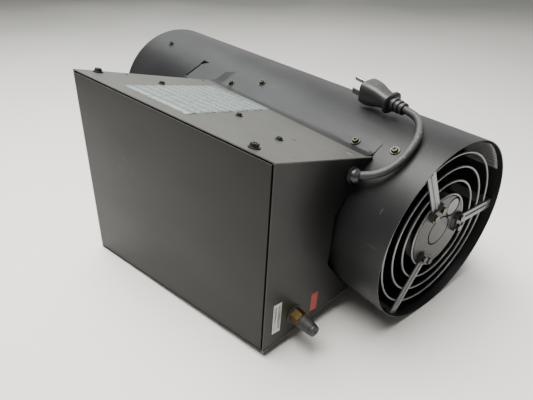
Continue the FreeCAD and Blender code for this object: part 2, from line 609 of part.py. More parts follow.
def bladeShape(index):
    """One stamped blade: a pitched sector of sheet between the hub and the tip circle."""
    count = int(size("fanBlades"))
    inner, outer = size("fanHub") - 1.5, size("fanRadius")
    width, gauge = size("fanBladeWidth"), size("fanBladeGauge")
    blade = Part.makeBox(gauge, width, outer, FreeCAD.Vector(-gauge / 2, -width / 2, inner * 0.9))
    blade.rotate(FreeCAD.Vector(0, 0, 0), FreeCAD.Vector(0, 0, 1), size("fanBladePitch"))
    tip = Part.makeCylinder(outer, 80, FreeCAD.Vector(-40, 0, 0), FreeCAD.Vector(1, 0, 0))
    blade = blade.common(tip)
    blade.rotate(FreeCAD.Vector(0, 0, 0), FreeCAD.Vector(1, 0, 0), index * 360.0 / count)
    return blade


def makeFan():
    """The fan wheel, on the motor's shaft."""
    motorDepth = size("motorBossLength") + size("motorLength") + size("motorStub")
    motorBack = armFace() - size("armGauge") - motorDepth
    centre = motorBack - size("fanGap") - size("fanHubLength") / 2
    hub = Part.makeCylinder(size("fanHub"), size("fanHubLength"),
                            FreeCAD.Vector(-size("fanHubLength") / 2, 0, 0), FreeCAD.Vector(1, 0, 0))
    wheel = hub.fuse([bladeShape(i) for i in range(int(size("fanBlades")))]).removeSplitter()
    bore = Part.makeCylinder(size("shaftRadius"), 60, FreeCAD.Vector(-30, 0, 0), FreeCAD.Vector(1, 0, 0))
    wheel = wheel.cut(bore)
    wheel.translate(FreeCAD.Vector(centre, 0, 0))
    placed("fan_wheel", wheel)
    start = centre - size("fanHubLength") / 2 - size("shaftTail")
    placed("motor_shaft", Part.makeCylinder(size("shaftRadius"), size("shaftLength"),
                                            FreeCAD.Vector(start, 0, 0), FreeCAD.Vector(1, 0, 0)))


# ---------------------------------------------------------------- burner

def burnerBack():
    """X of the burner cup's back, measured from the chamber's inner end."""
    return size("chamberSetback") + size("chamberLength") - size("tubeLength") / 2 - size("burnerSetback")


def makeBurner():
    """A perforated cup that faces the outlet, with its gas nozzle, igniter and sensors."""
    back = burnerBack()
    front = back - size("burnerLength")
    big, small = size("burnerRadius"), size("burnerRadius") * size("burnerTaper")
    gauge, length = size("burnerGauge"), size("burnerLength")
    start = FreeCAD.Vector(front, 0, 0)
    axis = FreeCAD.Vector(1, 0, 0)
    outer = Part.makeCone(big, small, length, start, axis)
    cup = outer.cut(Part.makeCone(big - gauge, small - gauge, length - gauge, start, axis))
    cup = cup.cut(Part.makeCylinder(size("nozzleRadius"), 20, FreeCAD.Vector(back - 10, 0, 0), axis))
    count, hole = int(size("burnerHoles")), size("burnerHoleRadius")
    for i in range(count):
        angle = 2 * math.pi * i / count
        out = FreeCAD.Vector(0, math.sin(angle), math.cos(angle))
        cup = cup.cut(Part.makeCylinder(hole, big * 2, FreeCAD.Vector(front + length * 0.35, 0, 0), out))
        cup = cup.cut(Part.makeCylinder(hole * 0.75, big * 2, FreeCAD.Vector(front + length * 0.65, 0, 0), out))
    placed("burner_cup", cup)
    tip = FreeCAD.Vector(back - 6, 0, 0)
    nozzle = Part.makeCylinder(size("nozzleRadius"), size("nozzleLength"), tip, axis)
    nozzle = nozzle.cut(Part.makeCylinder(1.2, 12, tip, axis))
    placed("gas_nozzle", nozzle)
    makeBurnerBracket(back + 4)
    makeElectrodes(front)


def makeBurnerBracket(x):
    """A cross strap from wall to wall of the chamber that carries the nozzle."""
    wall = size("chamberRadius") - size("chamberGauge")
    width, gauge = size("bracketWidth"), size("bracketGauge")
    reach = math.sqrt(wall ** 2 - (width / 2) ** 2) - 0.05
    strap = Part.makeBox(gauge, 2 * reach, width, FreeCAD.Vector(x, -reach, -width / 2))
    feet = [Part.makeBox(size("bracketFoot"), gauge, width, FreeCAD.Vector(x, y, -width / 2))
            for y in (-reach, reach - gauge)]
    bracket = strap.fuse(feet).removeSplitter()
    hole = Part.makeCylinder(size("nozzleRadius"), 10, FreeCAD.Vector(x - 5, 0, 0), FreeCAD.Vector(1, 0, 0))
    placed("burner_bracket", bracket.cut(hole))


def makeElectrodes(front):
    """Igniter and flame sensor: ceramic tubes through the chamber wall with bent rods into the flame."""
    wall = size("chamberRadius")
    for name, rodName, side in (("igniter_ceramic", "igniter_rod", 1),
                                ("sensor_ceramic", "flame_sensor_rod", -1)):
        angle = side * math.radians(size("electrodeAngle"))
        out = FreeCAD.Vector(0, math.sin(angle), -math.cos(angle))
        x = front + 12
        high = FreeCAD.Vector(x, 0, 0) + out * (wall + size("ceramicReach"))
        low = FreeCAD.Vector(x, 0, 0) + out * (size("burnerRadius") + size("ceramicClearance"))
        tip = low + out * -7
        end = FreeCAD.Vector(tip.x - size("electrodeTip"), tip.y * 0.78, tip.z * 0.78)
        placed(name, rod(high, low, size("ceramicRadius")))
        wire = rod(low, tip, size("electrodeRadius")).fuse([rod(tip, end, size("electrodeRadius")),
                                                           Part.makeSphere(size("electrodeRadius"), tip)])
        placed(rodName, wire.removeSplitter())


def makeBaffle():
    """A dished disc near the outlet on three legs."""
    x = -size("tubeLength") / 2 + size("chamberSetback") + size("baffleSetback")
    axis = FreeCAD.Vector(1, 0, 0)
    radius, gauge, depth = size("baffleRadius"), size("baffleGauge"), size("baffleDepth")
    end, start = radius * size("baffleTaper"), FreeCAD.Vector(x, 0, 0)
    disc = Part.makeCone(radius, end, depth, start, axis)
    disc = disc.cut(Part.makeCone(radius - gauge, end - gauge, depth - gauge, start, axis))
    wall = size("chamberRadius") - size("chamberGauge")
    width, thick = size("baffleLegWidth"), size("baffleLegGauge")
    reach = math.sqrt(wall ** 2 - (width / 2) ** 2) - 0.05
    legs = []
    for angle in (0, 120, 240):
        leg = Part.makeBox(thick, width, reach - radius + 4, FreeCAD.Vector(x, -width / 2, radius - 4))
        foot = FreeCAD.Vector(x, -width / 2, reach - thick)
        leg = leg.fuse(Part.makeBox(size("baffleFoot"), width, thick, foot))
        leg.rotate(FreeCAD.Vector(0, 0, 0), axis, angle)
        legs.append(leg)
    placed("outlet_baffle", disc.fuse(legs).removeSplitter())


# ---------------------------------------------------------------- gas and controls

def makeInlet():
    """The brass inlet through the rear plate, its grommet and its rubber cap."""
    face = size("tubeLength") / 2 - size("rearSetback") - size("plateRecess")
    y, z = size("inletY"), -size("inletDrop")
    at = seat(face, y, z)
    lip = "(Sizes.grommetThick - Sizes.panelGauge) / 2"
    back, flangeRim, neck = "-Sizes.panelGauge - " + lip, "Sizes.grommetRadius - 1", "Sizes.grommetRadius - 2.5"
    turned("inlet_grommet", [(back, "Sizes.inletThread"), (back, flangeRim), ("-Sizes.panelGauge", flangeRim),
                             ("-Sizes.panelGauge", neck), ("0", neck), ("0", "Sizes.grommetRadius"),
                             (lip, "Sizes.grommetRadius"), (lip, "Sizes.inletThread")], at)
    axis = FreeCAD.Vector(1, 0, 0)
    lipFace = face + (size("grommetThick") - size("panelGauge")) / 2
    centre = FreeCAD.Vector(face, y, z)
    thread = Part.makeCylinder(size("inletThread"), size("inletInner") + size("inletReach") - 4,
                               centre - axis * size("inletInner"), axis)
    nut = hexBar(FreeCAD.Vector(lipFace, y, z), (1, 0, 0), size("inletHex"), size("inletHexLength"))
    placed("inlet_fitting", thread.fuse(nut).removeSplitter())
    start = size("inletReach") - size("capLength") + 2
    wall = "(Sizes.inletThread + Sizes.capFit)"
    end, floor = "Sizes.capLength", "Sizes.capLength - 4"
    turned("inlet_cap", [("0", wall), ("0", "Sizes.capRadius"), ("Sizes.capLength * 0.45", "Sizes.capRadius"),
                         (end + " - 1.5", "Sizes.capEndRadius + 0.8"), (end, "Sizes.capEndRadius"), (end, "0"),
                         (floor, "0"), (floor, wall)], seat(face + start, y, z))


def makeGasLine():
    """The valve block behind the inlet, its bracket to the side panel and the pipe to the nozzle."""
    face = size("tubeLength") / 2 - size("rearSetback") - size("plateRecess")
    y, z = size("inletY"), -size("inletDrop")
    long, wide, high = size("valveLength"), size("valveWidth"), size("valveHeight")
    x = face - size("inletInner") - long
    block = Part.makeBox(long, wide, high, FreeCAD.Vector(x, y - wide / 2, z - high / 2))
    coil = Part.makeCylinder(size("coilRadius"), size("coilHeight"),
                             FreeCAD.Vector(x + long / 2, y - 4, z + high / 2), FreeCAD.Vector(0, 0, 1))
    placed("gas_valve", block.fuse(coil).removeSplitter())
    nozzleBack = burnerBack() - 6 + size("nozzleLength")
    turn = nozzleBack + 38
    points = [FreeCAD.Vector(x, y - 6, z), FreeCAD.Vector(turn + 4, y - 6, z), FreeCAD.Vector(turn, 40, -108),
              FreeCAD.Vector(turn - 2, 12, -60), FreeCAD.Vector(turn - 2, 0, 0),
              FreeCAD.Vector(nozzleBack, 0, 0)]
    placed("gas_pipe", tubeAlong(points, size("pipeRadius"))[0])


def makeModule():
    """The ignition module, on the base tray."""
    x = size("tubeLength") / 2 - size("rearSetback") - size("consoleLength") + size("moduleSetback")
    tilt = -math.degrees(math.atan(tiltRatio()))
    width = size("moduleWidth")
    box = Part.makeBox(size("moduleLength"), width, size("moduleHeight"), FreeCAD.Vector(0, -width / 2, 0))
    box = box.makeFillet(size("moduleRound"), box.Edges)
    box.rotate(FreeCAD.Vector(0, 0, 0), FreeCAD.Vector(0, 1, 0), tilt)
    base = -(size("rearDrop") + (size("tubeLength") / 2 - size("rearSetback") - x) * tiltRatio())
    box.translate(FreeCAD.Vector(x, -40, base + size("panelGauge") * 1.05))
    placed("ignition_module", box)


def makeControls():
    """On the lower side panel: the output knob on its spindle and a rocker switch."""
    half = size("tubeLength") / 2
    point, out = onFlank(half - size("knobX"), size("knobDrop"), 1)
    at = FreeCAD.Placement(point, FreeCAD.Rotation(FreeCAD.Vector(1, 0, 0), out))
    bore = "(Sizes.spindleRadius + Sizes.spindleFit)"
    turned("control_knob", [("0.6", "0"), ("0.6", "Sizes.knobRadius - 1"), ("1.6", "Sizes.knobRadius"),
                            ("Sizes.knobHeight - 2", "Sizes.knobRadius * 0.86"),
                            ("Sizes.knobHeight", "Sizes.knobRadius * 0.78"), ("Sizes.knobHeight", "0")], at)
    turned("knob_spindle", [("-12", "0"), ("-12", "Sizes.spindleRadius"), ("0.6", "Sizes.spindleRadius"),
                            ("0.6", "0")], at)
    skin, deep = "-Sizes.panelGauge", "-Sizes.controlDepth"
    turned("output_control", [(skin, bore), (skin, "Sizes.controlRadius"), (deep, "Sizes.controlRadius"),
                              (deep, "0"), ("-12.4", "0"), ("-12.4", bore)], at)
    makeSwitch(half)


def makeSwitch(half):
    """A rocker in a rectangular housing; its local frame has Z outwards and X along the tube."""
    point, out = onFlank(half - size("switchX"), size("switchDrop"), 1)
    along = FreeCAD.Vector(1, 0, 0)
    at = FreeCAD.Placement(point, FreeCAD.Rotation(along, out.cross(along), out, "ZXY"))
    long, wide, bezel = size("switchLength"), size("switchWidth"), size("switchBezel")
    fit, deep = size("rockerFit"), size("switchDepth")
    housing = Part.makeBox(long, wide, deep, FreeCAD.Vector(-long / 2, -wide / 2, -deep))
    rim = Part.makeBox(long + 4, wide + 4, bezel, FreeCAD.Vector(-long / 2 - 2, -wide / 2 - 2, 0))
    wellLong, wellWide = long - 3, wide - 3
    well = Part.makeBox(wellLong, wellWide, 20, FreeCAD.Vector(-wellLong / 2, -wellWide / 2, -8))
    pinHole = Part.makeCylinder(size("rockerPin") + 0.05, wide - 1, FreeCAD.Vector(0, -wide / 2 + 0.5, -1.5),
                                FreeCAD.Vector(0, 1, 0))
    placed("switch_housing", housing.fuse(rim).cut(well).cut(pinHole).removeSplitter(), at)
    rockLong, rockWide = wellLong - 2.5 * fit, wellWide - 2 * fit
    rocker = Part.makeBox(rockLong, rockWide, 6.5, FreeCAD.Vector(-rockLong / 2, -rockWide / 2, -4))
    scoop = Part.makeCylinder(20, rockWide, FreeCAD.Vector(0, -rockWide / 2, 20.6), FreeCAD.Vector(0, 1, 0))
    pin = Part.makeCylinder(size("rockerPin"), wide - 1.8, FreeCAD.Vector(0, -wide / 2 + 0.9, -1.5),
                            FreeCAD.Vector(0, 1, 0))
    rocker = rocker.cut(scoop).fuse(pin).removeSplitter()
    rocker.rotate(FreeCAD.Vector(0, 0, -1.5), FreeCAD.Vector(0, 1, 0), -8)
    placed("switch_rocker", rocker, at)


# ---------------------------------------------------------------- mains lead

# The lead's route in the resting frame, in millimetres: straight out of the bushing, up over the tube
# and back along its top into the plug.
CORD_ROUTE = [(226.0, -13.2, 184.9), (240.3, -7.6, 187.4), (251.5, 3.2, 193.0), (256.4, 18.5, 201.2),
              (255.3, 35.5, 209.6), (250.0, 51.0, 215.9), (241.0, 63.5, 221.0), (228.8, 71.0, 224.2),
              (214.5, 72.5, 225.0)]


def roundedPath(points):
    """Straight runs joined by tangent arcs, each as large as its two runs allow."""
    edges, radii = [], []
    current = points[0]
    for before, corner, after in zip(points, points[1:], points[2:]):
        back, ahead = before.sub(corner), after.sub(corner)
        turn = math.pi - back.getAngle(ahead)
        radius = 0.45 * min(back.Length, ahead.Length) / math.tan(turn / 2)
        reach = radius * math.tan(turn / 2)
        start = corner + back.normalize() * reach
        end = corner + ahead.normalize() * reach
        middle = (start + end) * 0.5
        towards = middle.sub(corner)
        towards.normalize()
        onArc = corner + towards * (radius / math.cos(turn / 2) - radius)
        edges.append(Part.LineSegment(current, start).toShape())
        edges.append(Part.Arc(start, onArc, end).toShape())
        radii.append(radius)
        current = end
    edges.append(Part.LineSegment(current, points[-1]).toShape())
    return Part.Wire(edges), radii


def tubeAlong(points, radius):
    """A round solid along a rounded path, with its length and bend radii."""
    path, radii = roundedPath(points)
    first = points[1].sub(points[0])
    section = Part.Wire([Part.Circle(points[0], first, radius).toShape()])
    solid = path.makePipeShell([section], True, True)
    return solid, path.Length, radii


def makeCord():
    points = [FreeCAD.Vector(*point) for point in CORD_ROUTE]
    solid, length, radii = tubeAlong(points, size("cordRadius"))
    feature = doc.addObject("Part::Feature", "power_cord")
    feature.Label = "power_cord"
    feature.Shape = solid
    nodes.append(feature)
    area = math.pi * size("cordRadius") ** 2
    print("cord length %.1f, volume ratio %.4f" % (length, solid.Volume / (area * length)))
    print("cord radii", " ".join("%.0f" % radius for radius in radii))


def makeBushing():
    """The strain-relief bushing that the lead comes out of."""
    face = size("tubeLength") / 2 - size("rearSetback") - size("plateRecess")
    collar = "Sizes.bushingRadius"
    turned("cord_bushing", [("-6", "Sizes.cordRadius"), ("-6", "Sizes.bushingRadius - 1.5"),
                            ("0", "Sizes.bushingRadius - 1.5"), ("0", collar), ("2.2", collar),
                            ("3", "Sizes.cordRadius + Sizes.bushingCollar"),
                            ("Sizes.bushingReach", "Sizes.cordRadius + Sizes.bushingCollar * 0.6"),
                            ("Sizes.bushingReach", "Sizes.cordRadius")],
           seat(face, size("cordExitY"), -size("cordExitDrop")))


def makePlug():
    """The moulded plug at the lead's end: body, tail, two blades and an earth pin."""
    end = FreeCAD.Vector(*CORD_ROUTE[-1])
    back = FreeCAD.Vector(*CORD_ROUTE[-2])
    turn = FreeCAD.Rotation(end.sub(back), FreeCAD.Vector(), FreeCAD.Vector(0, 0, 1), "XZY")
    roll = FreeCAD.Rotation(FreeCAD.Vector(1, 0, 0), -size("plugRoll"))
    at = FreeCAD.Placement(end, turn.multiply(roll))
    axis = FreeCAD.Vector(1, 0, 0)
    start, width = size("tailLength"), size("plugWidth")
    face, gauge = start + size("plugLength"), size("bladeGauge")
    tail = Part.makeCone(size("tailStart"), size("tailEnd"), start, FreeCAD.Vector(0, 0, 0), axis)
    body = Part.makeBox(size("plugLength"), width, width, FreeCAD.Vector(start, -width / 2, -width / 2))
    body = body.makeFillet(size("plugRound"), body.Edges)
    shape = body.fuse(tail).removeSplitter()
    blades = [Part.makeBox(size("bladeLength"), gauge, size("bladeWidth"),
                           FreeCAD.Vector(face, side * size("bladeSpread") - gauge / 2, -size("bladeDrop")))
              for side in (-1, 1)]
    foot = FreeCAD.Vector(face, 0, size("pinRise"))
    pin = Part.makeCylinder(size("pinRadius"), size("pinLength"), foot, axis)
    for name, solid in (("plug_body", shape), ("plug_blades", Part.makeCompound(blades)), ("plug_pin", pin)):
        feature = doc.addObject("Part::Feature", name)
        feature.Label = name
        feature.Shape = solid
        feature.Placement = at.multiply(solid.Placement)
        nodes.append(feature)


# ---------------------------------------------------------------- labels

def makeLabels():
    """Blank labels: one on the upper side panel and two on the rear plate."""
    half = size("tubeLength") / 2
    gauge = size("labelGauge")
    point, out = onFlank(half - size("ratingX"), size("ratingDrop"), -1)
    tall, wide = size("ratingHeight"), size("ratingWidth")
    rating = Part.makeBox(wide, tall, gauge, FreeCAD.Vector(-wide / 2, -tall / 2, 0))
    rating.rotate(FreeCAD.Vector(0, 0, 0), FreeCAD.Vector(0, 0, 1), math.degrees(math.atan(tiltRatio())))
    along = FreeCAD.Vector(1, 0, 0)
    at = FreeCAD.Placement(point, FreeCAD.Rotation(along, out.cross(along), out, "ZXY"))
    rating.Placement = at.multiply(rating.Placement)
    placed("rating_label", rating)
    face = half - size("rearSetback") - size("plateRecess")
    for name, alias in (("barcode_label", "barcode"), ("check_sticker", "sticker")):
        wide, tall = size(alias + "Width"), size(alias + "Height")
        corner = FreeCAD.Vector(face, size(alias + "Y") - tall / 2, -size(alias + "Drop") - wide / 2)
        placed(name, Part.makeBox(gauge, tall, wide, corner))


makeOuterTube()
makeChamber()
makeTubeHardware()
makeSidePanel("upper_side_panel", -1)
makeSidePanel("lower_side_panel", 1)
makeEndPlate("rear_plate", "(%s - Sizes.plateRecess)" % REAR, -1, True)
makeEndPlate("front_plate", "(%s + Sizes.plateRecess)" % FRONT, 1, False)
makeBasePlate()
makePanelHardware()
for armName, armAngle in zip(("guard_arm_upper", "guard_arm_lower", "guard_arm_far"), ARM_ANGLES):
    makeArm(armName, armAngle)
makeGuardRings()
makeMountDisc()
makeClips()
makeMotor()
makeFan()
makeBurner()
makeBaffle()
makeInlet()
makeGasLine()
makeModule()
makeControls()
makeBushing()
makeCord()
makePlug()
makeLabels()
doc.recompute()

failed = [item.Name for item in doc.Objects if any(word in item.State for word in ("Invalid", "Error"))]
if failed:
    raise RuntimeError("not built: %s" % ", ".join(failed))
os.makedirs("parts", exist_ok=True)
for node in nodes:
    if node.Shape.isNull() or not node.Shape.isValid() or node.Shape.Volume <= 0:
        raise RuntimeError("bad shape: %s" % node.Label)
for node in nodes:
    node.Shape.exportStep("parts/%s.step" % node.Label)
print("%d nodes written" % len(nodes))
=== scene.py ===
import json
import math
import bmesh
import bpy
import numpy as np
from mathutils import Matrix, Vector


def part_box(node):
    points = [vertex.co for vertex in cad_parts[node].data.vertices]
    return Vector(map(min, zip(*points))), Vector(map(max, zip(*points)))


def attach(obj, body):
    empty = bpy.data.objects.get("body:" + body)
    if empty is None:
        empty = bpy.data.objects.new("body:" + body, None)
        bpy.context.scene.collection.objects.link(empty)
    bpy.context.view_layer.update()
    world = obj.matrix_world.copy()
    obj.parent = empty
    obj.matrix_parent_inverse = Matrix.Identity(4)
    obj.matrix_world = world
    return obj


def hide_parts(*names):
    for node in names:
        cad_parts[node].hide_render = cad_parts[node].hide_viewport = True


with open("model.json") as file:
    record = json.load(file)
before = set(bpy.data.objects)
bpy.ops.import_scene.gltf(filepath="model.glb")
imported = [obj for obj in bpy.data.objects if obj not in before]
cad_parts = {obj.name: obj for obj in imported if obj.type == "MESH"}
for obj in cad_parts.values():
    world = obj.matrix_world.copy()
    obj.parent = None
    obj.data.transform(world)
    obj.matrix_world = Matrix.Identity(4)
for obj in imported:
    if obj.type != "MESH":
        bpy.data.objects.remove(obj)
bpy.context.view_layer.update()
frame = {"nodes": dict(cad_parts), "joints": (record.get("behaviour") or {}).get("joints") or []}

print("frame loaded:", len(frame["nodes"]), "nodes")

# where the heater lies: the tube's axis runs along X, the console leans away from straight sideways
heater = {
    "tubeRadius": 0.106, "tubeLength": 0.572, "rearSetback": 0.0595, "consoleLength": 0.287,
    "rearDrop": 0.1925, "frontDrop": 0.254, "frontHalfWidth": 0.1238, "flankSlope": 12.13,
}
joints = {joint["name"]: joint for joint in frame["joints"]}
axisPoint = joints["fan_spin"]["pos_m"]
cornerReach = math.hypot(heater["frontHalfWidth"], heater["frontDrop"])
cornerAngle = math.atan2(heater["frontHalfWidth"], heater["frontDrop"])
lean = cornerAngle - math.asin(heater["tubeRadius"] / cornerReach)
fanEnd = heater["tubeLength"] / 2
rearFace = fanEnd - heater["rearSetback"]
frontFace = rearFace - heater["consoleLength"]
tilt = (heater["frontDrop"] - heater["rearDrop"]) / heater["consoleLength"]


# from the upright heater to the heater lying down: turned about the tube's axis, moved to where it lies
def laid(x, across, up):
    y = axisPoint[1] - np.asarray(across) * math.sin(lean) + np.asarray(up) * math.cos(lean)
    z = axisPoint[2] - np.asarray(across) * math.cos(lean) - np.asarray(up) * math.sin(lean)
    return np.stack(np.broadcast_arrays(np.asarray(x, dtype=float), y, z), axis=-1)


# points and faces made into a mesh and a piece of that name
def meshFrom(name, points, faces):
    mesh = bpy.data.meshes.new(name)
    mesh.from_pydata([tuple(p) for p in points], [], [tuple(int(i) for i in f) for f in faces])
    mesh.update()
    piece = bpy.data.objects.new(name, mesh)
    bpy.context.collection.objects.link(piece)
    mesh.polygons.foreach_set("use_smooth", np.full(len(mesh.polygons), True))
    return piece


# quads between neighbouring samples of a grid whose points are numbered row by row
def gridFaces(rows, columns, wrapColumns=False):
    r = np.arange(rows - 1)
    c = np.arange(columns if wrapColumns else columns - 1)
    r, c = np.meshgrid(r, c, indexing="ij")
    below, beside = r + 1, (c + 1) % columns
    corners = [r * columns + c, r * columns + beside, below * columns + beside, below * columns + c]
    return np.stack(corners, axis=-1).reshape(-1, 4)


# merge doubled points, such as those at a pole or a seam, and turn every face outwards
def weld(piece, outwards=True):
    work = bmesh.new()
    work.from_mesh(piece.data)
    bmesh.ops.remove_doubles(work, verts=work.verts, dist=1e-6)
    bmesh.ops.dissolve_degenerate(work, edges=work.edges, dist=1e-7)
    if outwards:
        bmesh.ops.recalc_face_normals(work, faces=work.faces)
    work.to_mesh(piece.data)
    work.free()
    return piece


# edges that bend by more than this many degrees are drawn sharp
def creased(piece, degrees):
    piece.data.set_sharp_from_angle(angle=math.radians(degrees))
    return piece


# one mesh out of several lists of points and faces, each numbered from its own start
def joined(name, parts):
    starts = np.cumsum([0] + [len(part[0]) for part in parts[:-1]])
    points = np.concatenate([part[0] for part in parts])
    faces = np.concatenate([part[1] + start for part, start in zip(parts, starts)])
    return meshFrom(name, points, faces)


# two unit vectors square to an axis and to each other
def sideways(axis):
    axis = np.asarray(axis, dtype=float) / np.linalg.norm(axis)
    helper = np.array([0.0, 0.0, 1.0]) if abs(axis[2]) < 0.9 else np.array([1.0, 0.0, 0.0])
    first = np.cross(helper, axis)
    first /= np.linalg.norm(first)
    return axis, first, np.cross(axis, first)


# a profile of (distance along, radius) turned about an axis: origin + along * axis + radius * direction
def turnedGrid(profile, origin, axis, around=48):
    axis, first, second = sideways(axis)
    angle = np.linspace(0, 2 * math.pi, around, endpoint=False)
    along, radius = (np.array(column, dtype=float) for column in zip(*profile))
    spokes = np.cos(angle)[:, None] * first + np.sin(angle)[:, None] * second
    points = np.asarray(origin) + along[:, None, None] * axis + radius[:, None, None] * spokes[None]
    return points.reshape(-1, 3), gridFaces(len(along), around, wrapColumns=True)


# a straight rod with domed ends: a half circle, a straight run and a half circle, turned about the line
def rodGrid(start, end, radius, around=10):
    start, end = np.asarray(start), np.asarray(end)
    length = np.linalg.norm(end - start)
    bend = np.linspace(0, math.pi / 2, 4)
    profile = [(radius * (1 - math.cos(t)), radius * math.sin(t)) for t in bend]
    profile += [(length - along, r) for along, r in reversed(profile)]
    return turnedGrid(profile, start, end - start, around)


# the material and the body that a piece belongs to, and the CAD nodes that it stands in for, which are
# hidden
def finished(piece, material, body="housing", replaced=()):
    piece.data.materials.append(materials[material])
    if replaced:
        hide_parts(*replaced)
    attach(piece, body)
    return piece


# an open sheet gets a wall of this thickness: offset 0 spreads it to both sides, 1 puts it all outside
def thicken(piece, thickness, offset=0.0):
    sheet = piece.modifiers.new("sheet", "SOLIDIFY")
    sheet.thickness = thickness
    sheet.offset = offset


# a point of a side panel's outer face, and the face's outward direction, both laid down
def panelPoint(x, drop, side):
    slope = math.radians(heater["flankSlope"])
    across = side * (heater["frontHalfWidth"] - (heater["frontDrop"] - drop) * math.tan(slope))
    place = laid(x, across, -drop)
    out = laid(0, side * math.cos(slope), math.sin(slope)) - laid(0, 0, 0)
    return place, out


# a point at a radius from the tube's axis; the angle is counted from the console
def tubePoint(x, angle, radius):
    angle = np.radians(angle)
    return laid(x, radius * np.sin(angle), -radius * np.cos(angle))


# one named input or output of a shader group
def groupSocket(group, direction, kind, name, value=None):
    socket = group.interface.new_socket(name=name, in_out=direction, socket_type=kind)
    if value is not None:
        socket.default_value = value


# arithmetic on two values, each a number or a socket
def mathNode(tree, operation, first, second, clamp=False):
    node = tree.nodes.new("ShaderNodeMath")
    node.operation = operation
    node.use_clamp = clamp
    for index, value in enumerate((first, second)):
        if isinstance(value, (int, float)):
            node.inputs[index].default_value = value
        else:
            tree.links.new(value, node.inputs[index])
    return node.outputs[0]


# soft noise between 0 and 1
def noiseNode(tree, vector, scale, detail=2.0, roughness=0.5):
    node = tree.nodes.new("ShaderNodeTexNoise")
    node.inputs["Scale"].default_value = scale
    node.inputs["Detail"].default_value = detail
    node.inputs["Roughness"].default_value = roughness
    tree.links.new(vector, node.inputs["Vector"])
    return node.outputs["Fac"]


# a value's run from low to high becomes a run from fromValue to toValue, held at both ends
def rampNode(tree, value, low, high, fromValue=0.0, toValue=1.0):
    node = tree.nodes.new("ShaderNodeMapRange")
    node.inputs["From Min"].default_value = low
    node.inputs["From Max"].default_value = high
    node.inputs["To Min"].default_value = fromValue
    node.inputs["To Max"].default_value = toValue
    tree.links.new(value, node.inputs["Value"])
    return node.outputs["Result"]


# a position scaled by a different amount along each axis
def stretched(tree, vector, scale):
    node = tree.nodes.new("ShaderNodeMapping")
    node.inputs["Scale"].default_value = scale
    tree.links.new(vector, node.inputs["Vector"])
    return node.outputs["Vector"]


# fine pebble of sprayed paint, slow drift of tone, and thin dust where the surface looks up
def makeSprayCoat():
    group = bpy.data.node_groups.new("sprayCoat", "ShaderNodeTree")
    groupSocket(group, "INPUT", "NodeSocketVector", "Position")
    groupSocket(group, "INPUT", "NodeSocketFloat", "Pebble", 900.0)
    groupSocket(group, "INPUT", "NodeSocketFloat", "Dust", 0.2)
    groupSocket(group, "OUTPUT", "NodeSocketFloat", "Height")
    groupSocket(group, "OUTPUT", "NodeSocketFloat", "Tone")
    groupSocket(group, "OUTPUT", "NodeSocketFloat", "Dust mask")
    given, out = group.nodes.new("NodeGroupInput"), group.nodes.new("NodeGroupOutput")
    position = given.outputs["Position"]
    fine = group.nodes.new("ShaderNodeTexNoise")
    fine.inputs["Detail"].default_value = 1.5
    group.links.new(position, fine.inputs["Vector"])
    group.links.new(given.outputs["Pebble"], fine.inputs["Scale"])
    drift = noiseNode(group, position, 9.0, 3.0, 0.55)
    specks = rampNode(group, noiseNode(group, position, 420.0, 2.0), 0.62, 0.75)
    patches = rampNode(group, noiseNode(group, position, 14.0, 4.0, 0.6), 0.40, 0.72)
    geometry = group.nodes.new("ShaderNodeNewGeometry")
    split = group.nodes.new("ShaderNodeSeparateXYZ")
    group.links.new(geometry.outputs["Normal"], split.inputs[0])
    facingUp = rampNode(group, split.outputs["Z"], 0.1, 0.95)
    film = mathNode(group, "MULTIPLY", facingUp, patches)
    loose = mathNode(group, "MULTIPLY", facingUp, specks)
    both = mathNode(group, "ADD", mathNode(group, "MULTIPLY", film, 0.35), loose)
    group.links.new(fine.outputs["Fac"], out.inputs["Height"])
    group.links.new(drift, out.inputs["Tone"])
    group.links.new(mathNode(group, "MULTIPLY", both, given.outputs["Dust"], True), out.inputs["Dust mask"])
    return group


# short scratches both ways, and a slow smear of the gloss, from stretched noise
def makeScuffs():
    group = bpy.data.node_groups.new("scuffs", "ShaderNodeTree")
    groupSocket(group, "INPUT", "NodeSocketVector", "Position")
    groupSocket(group, "INPUT", "NodeSocketFloat", "Amount", 0.5)
    groupSocket(group, "OUTPUT", "NodeSocketFloat", "Scratch")
    groupSocket(group, "OUTPUT", "NodeSocketFloat", "Smear")
    given, out = group.nodes.new("NodeGroupInput"), group.nodes.new("NodeGroupOutput")
    position = given.outputs["Position"]
    lengthwise = noiseNode(group, stretched(group, position, (14.0, 260.0, 260.0)), 1.0, 2.0)
    long = rampNode(group, lengthwise, 0.70, 0.76)
    crosswise = noiseNode(group, stretched(group, position, (300.0, 22.0, 60.0)), 1.0, 2.0)
    cross = rampNode(group, crosswise, 0.72, 0.78)
    where = rampNode(group, noiseNode(group, position, 11.0, 2.0), 0.45, 0.65)
    lines = mathNode(group, "MULTIPLY", mathNode(group, "MAXIMUM", long, cross), where)
    smear = noiseNode(group, stretched(group, position, (7.0, 16.0, 16.0)), 1.0, 3.0, 0.6)
    scratch = mathNode(group, "MULTIPLY", lines, given.outputs["Amount"], True)
    group.links.new(scratch, out.inputs["Scratch"])
    group.links.new(smear, out.inputs["Smear"])
    return group


sprayCoat, scuffs = makeSprayCoat(), makeScuffs()


# two colours mixed by a factor, each a value or a socket
def mixColors(tree, factor, first, second):
    node = tree.nodes.new("ShaderNodeMix")
    node.data_type = "RGBA"
    for socket, value in ((node.inputs[0], factor), (node.inputs[6], first), (node.inputs[7], second)):
        if isinstance(value, (tuple, list)):
            socket.default_value = (*value[:3], 1.0)
        elif isinstance(value, (int, float)):
            socket.default_value = value
        else:
            tree.links.new(value, socket)
    return node.outputs[2]


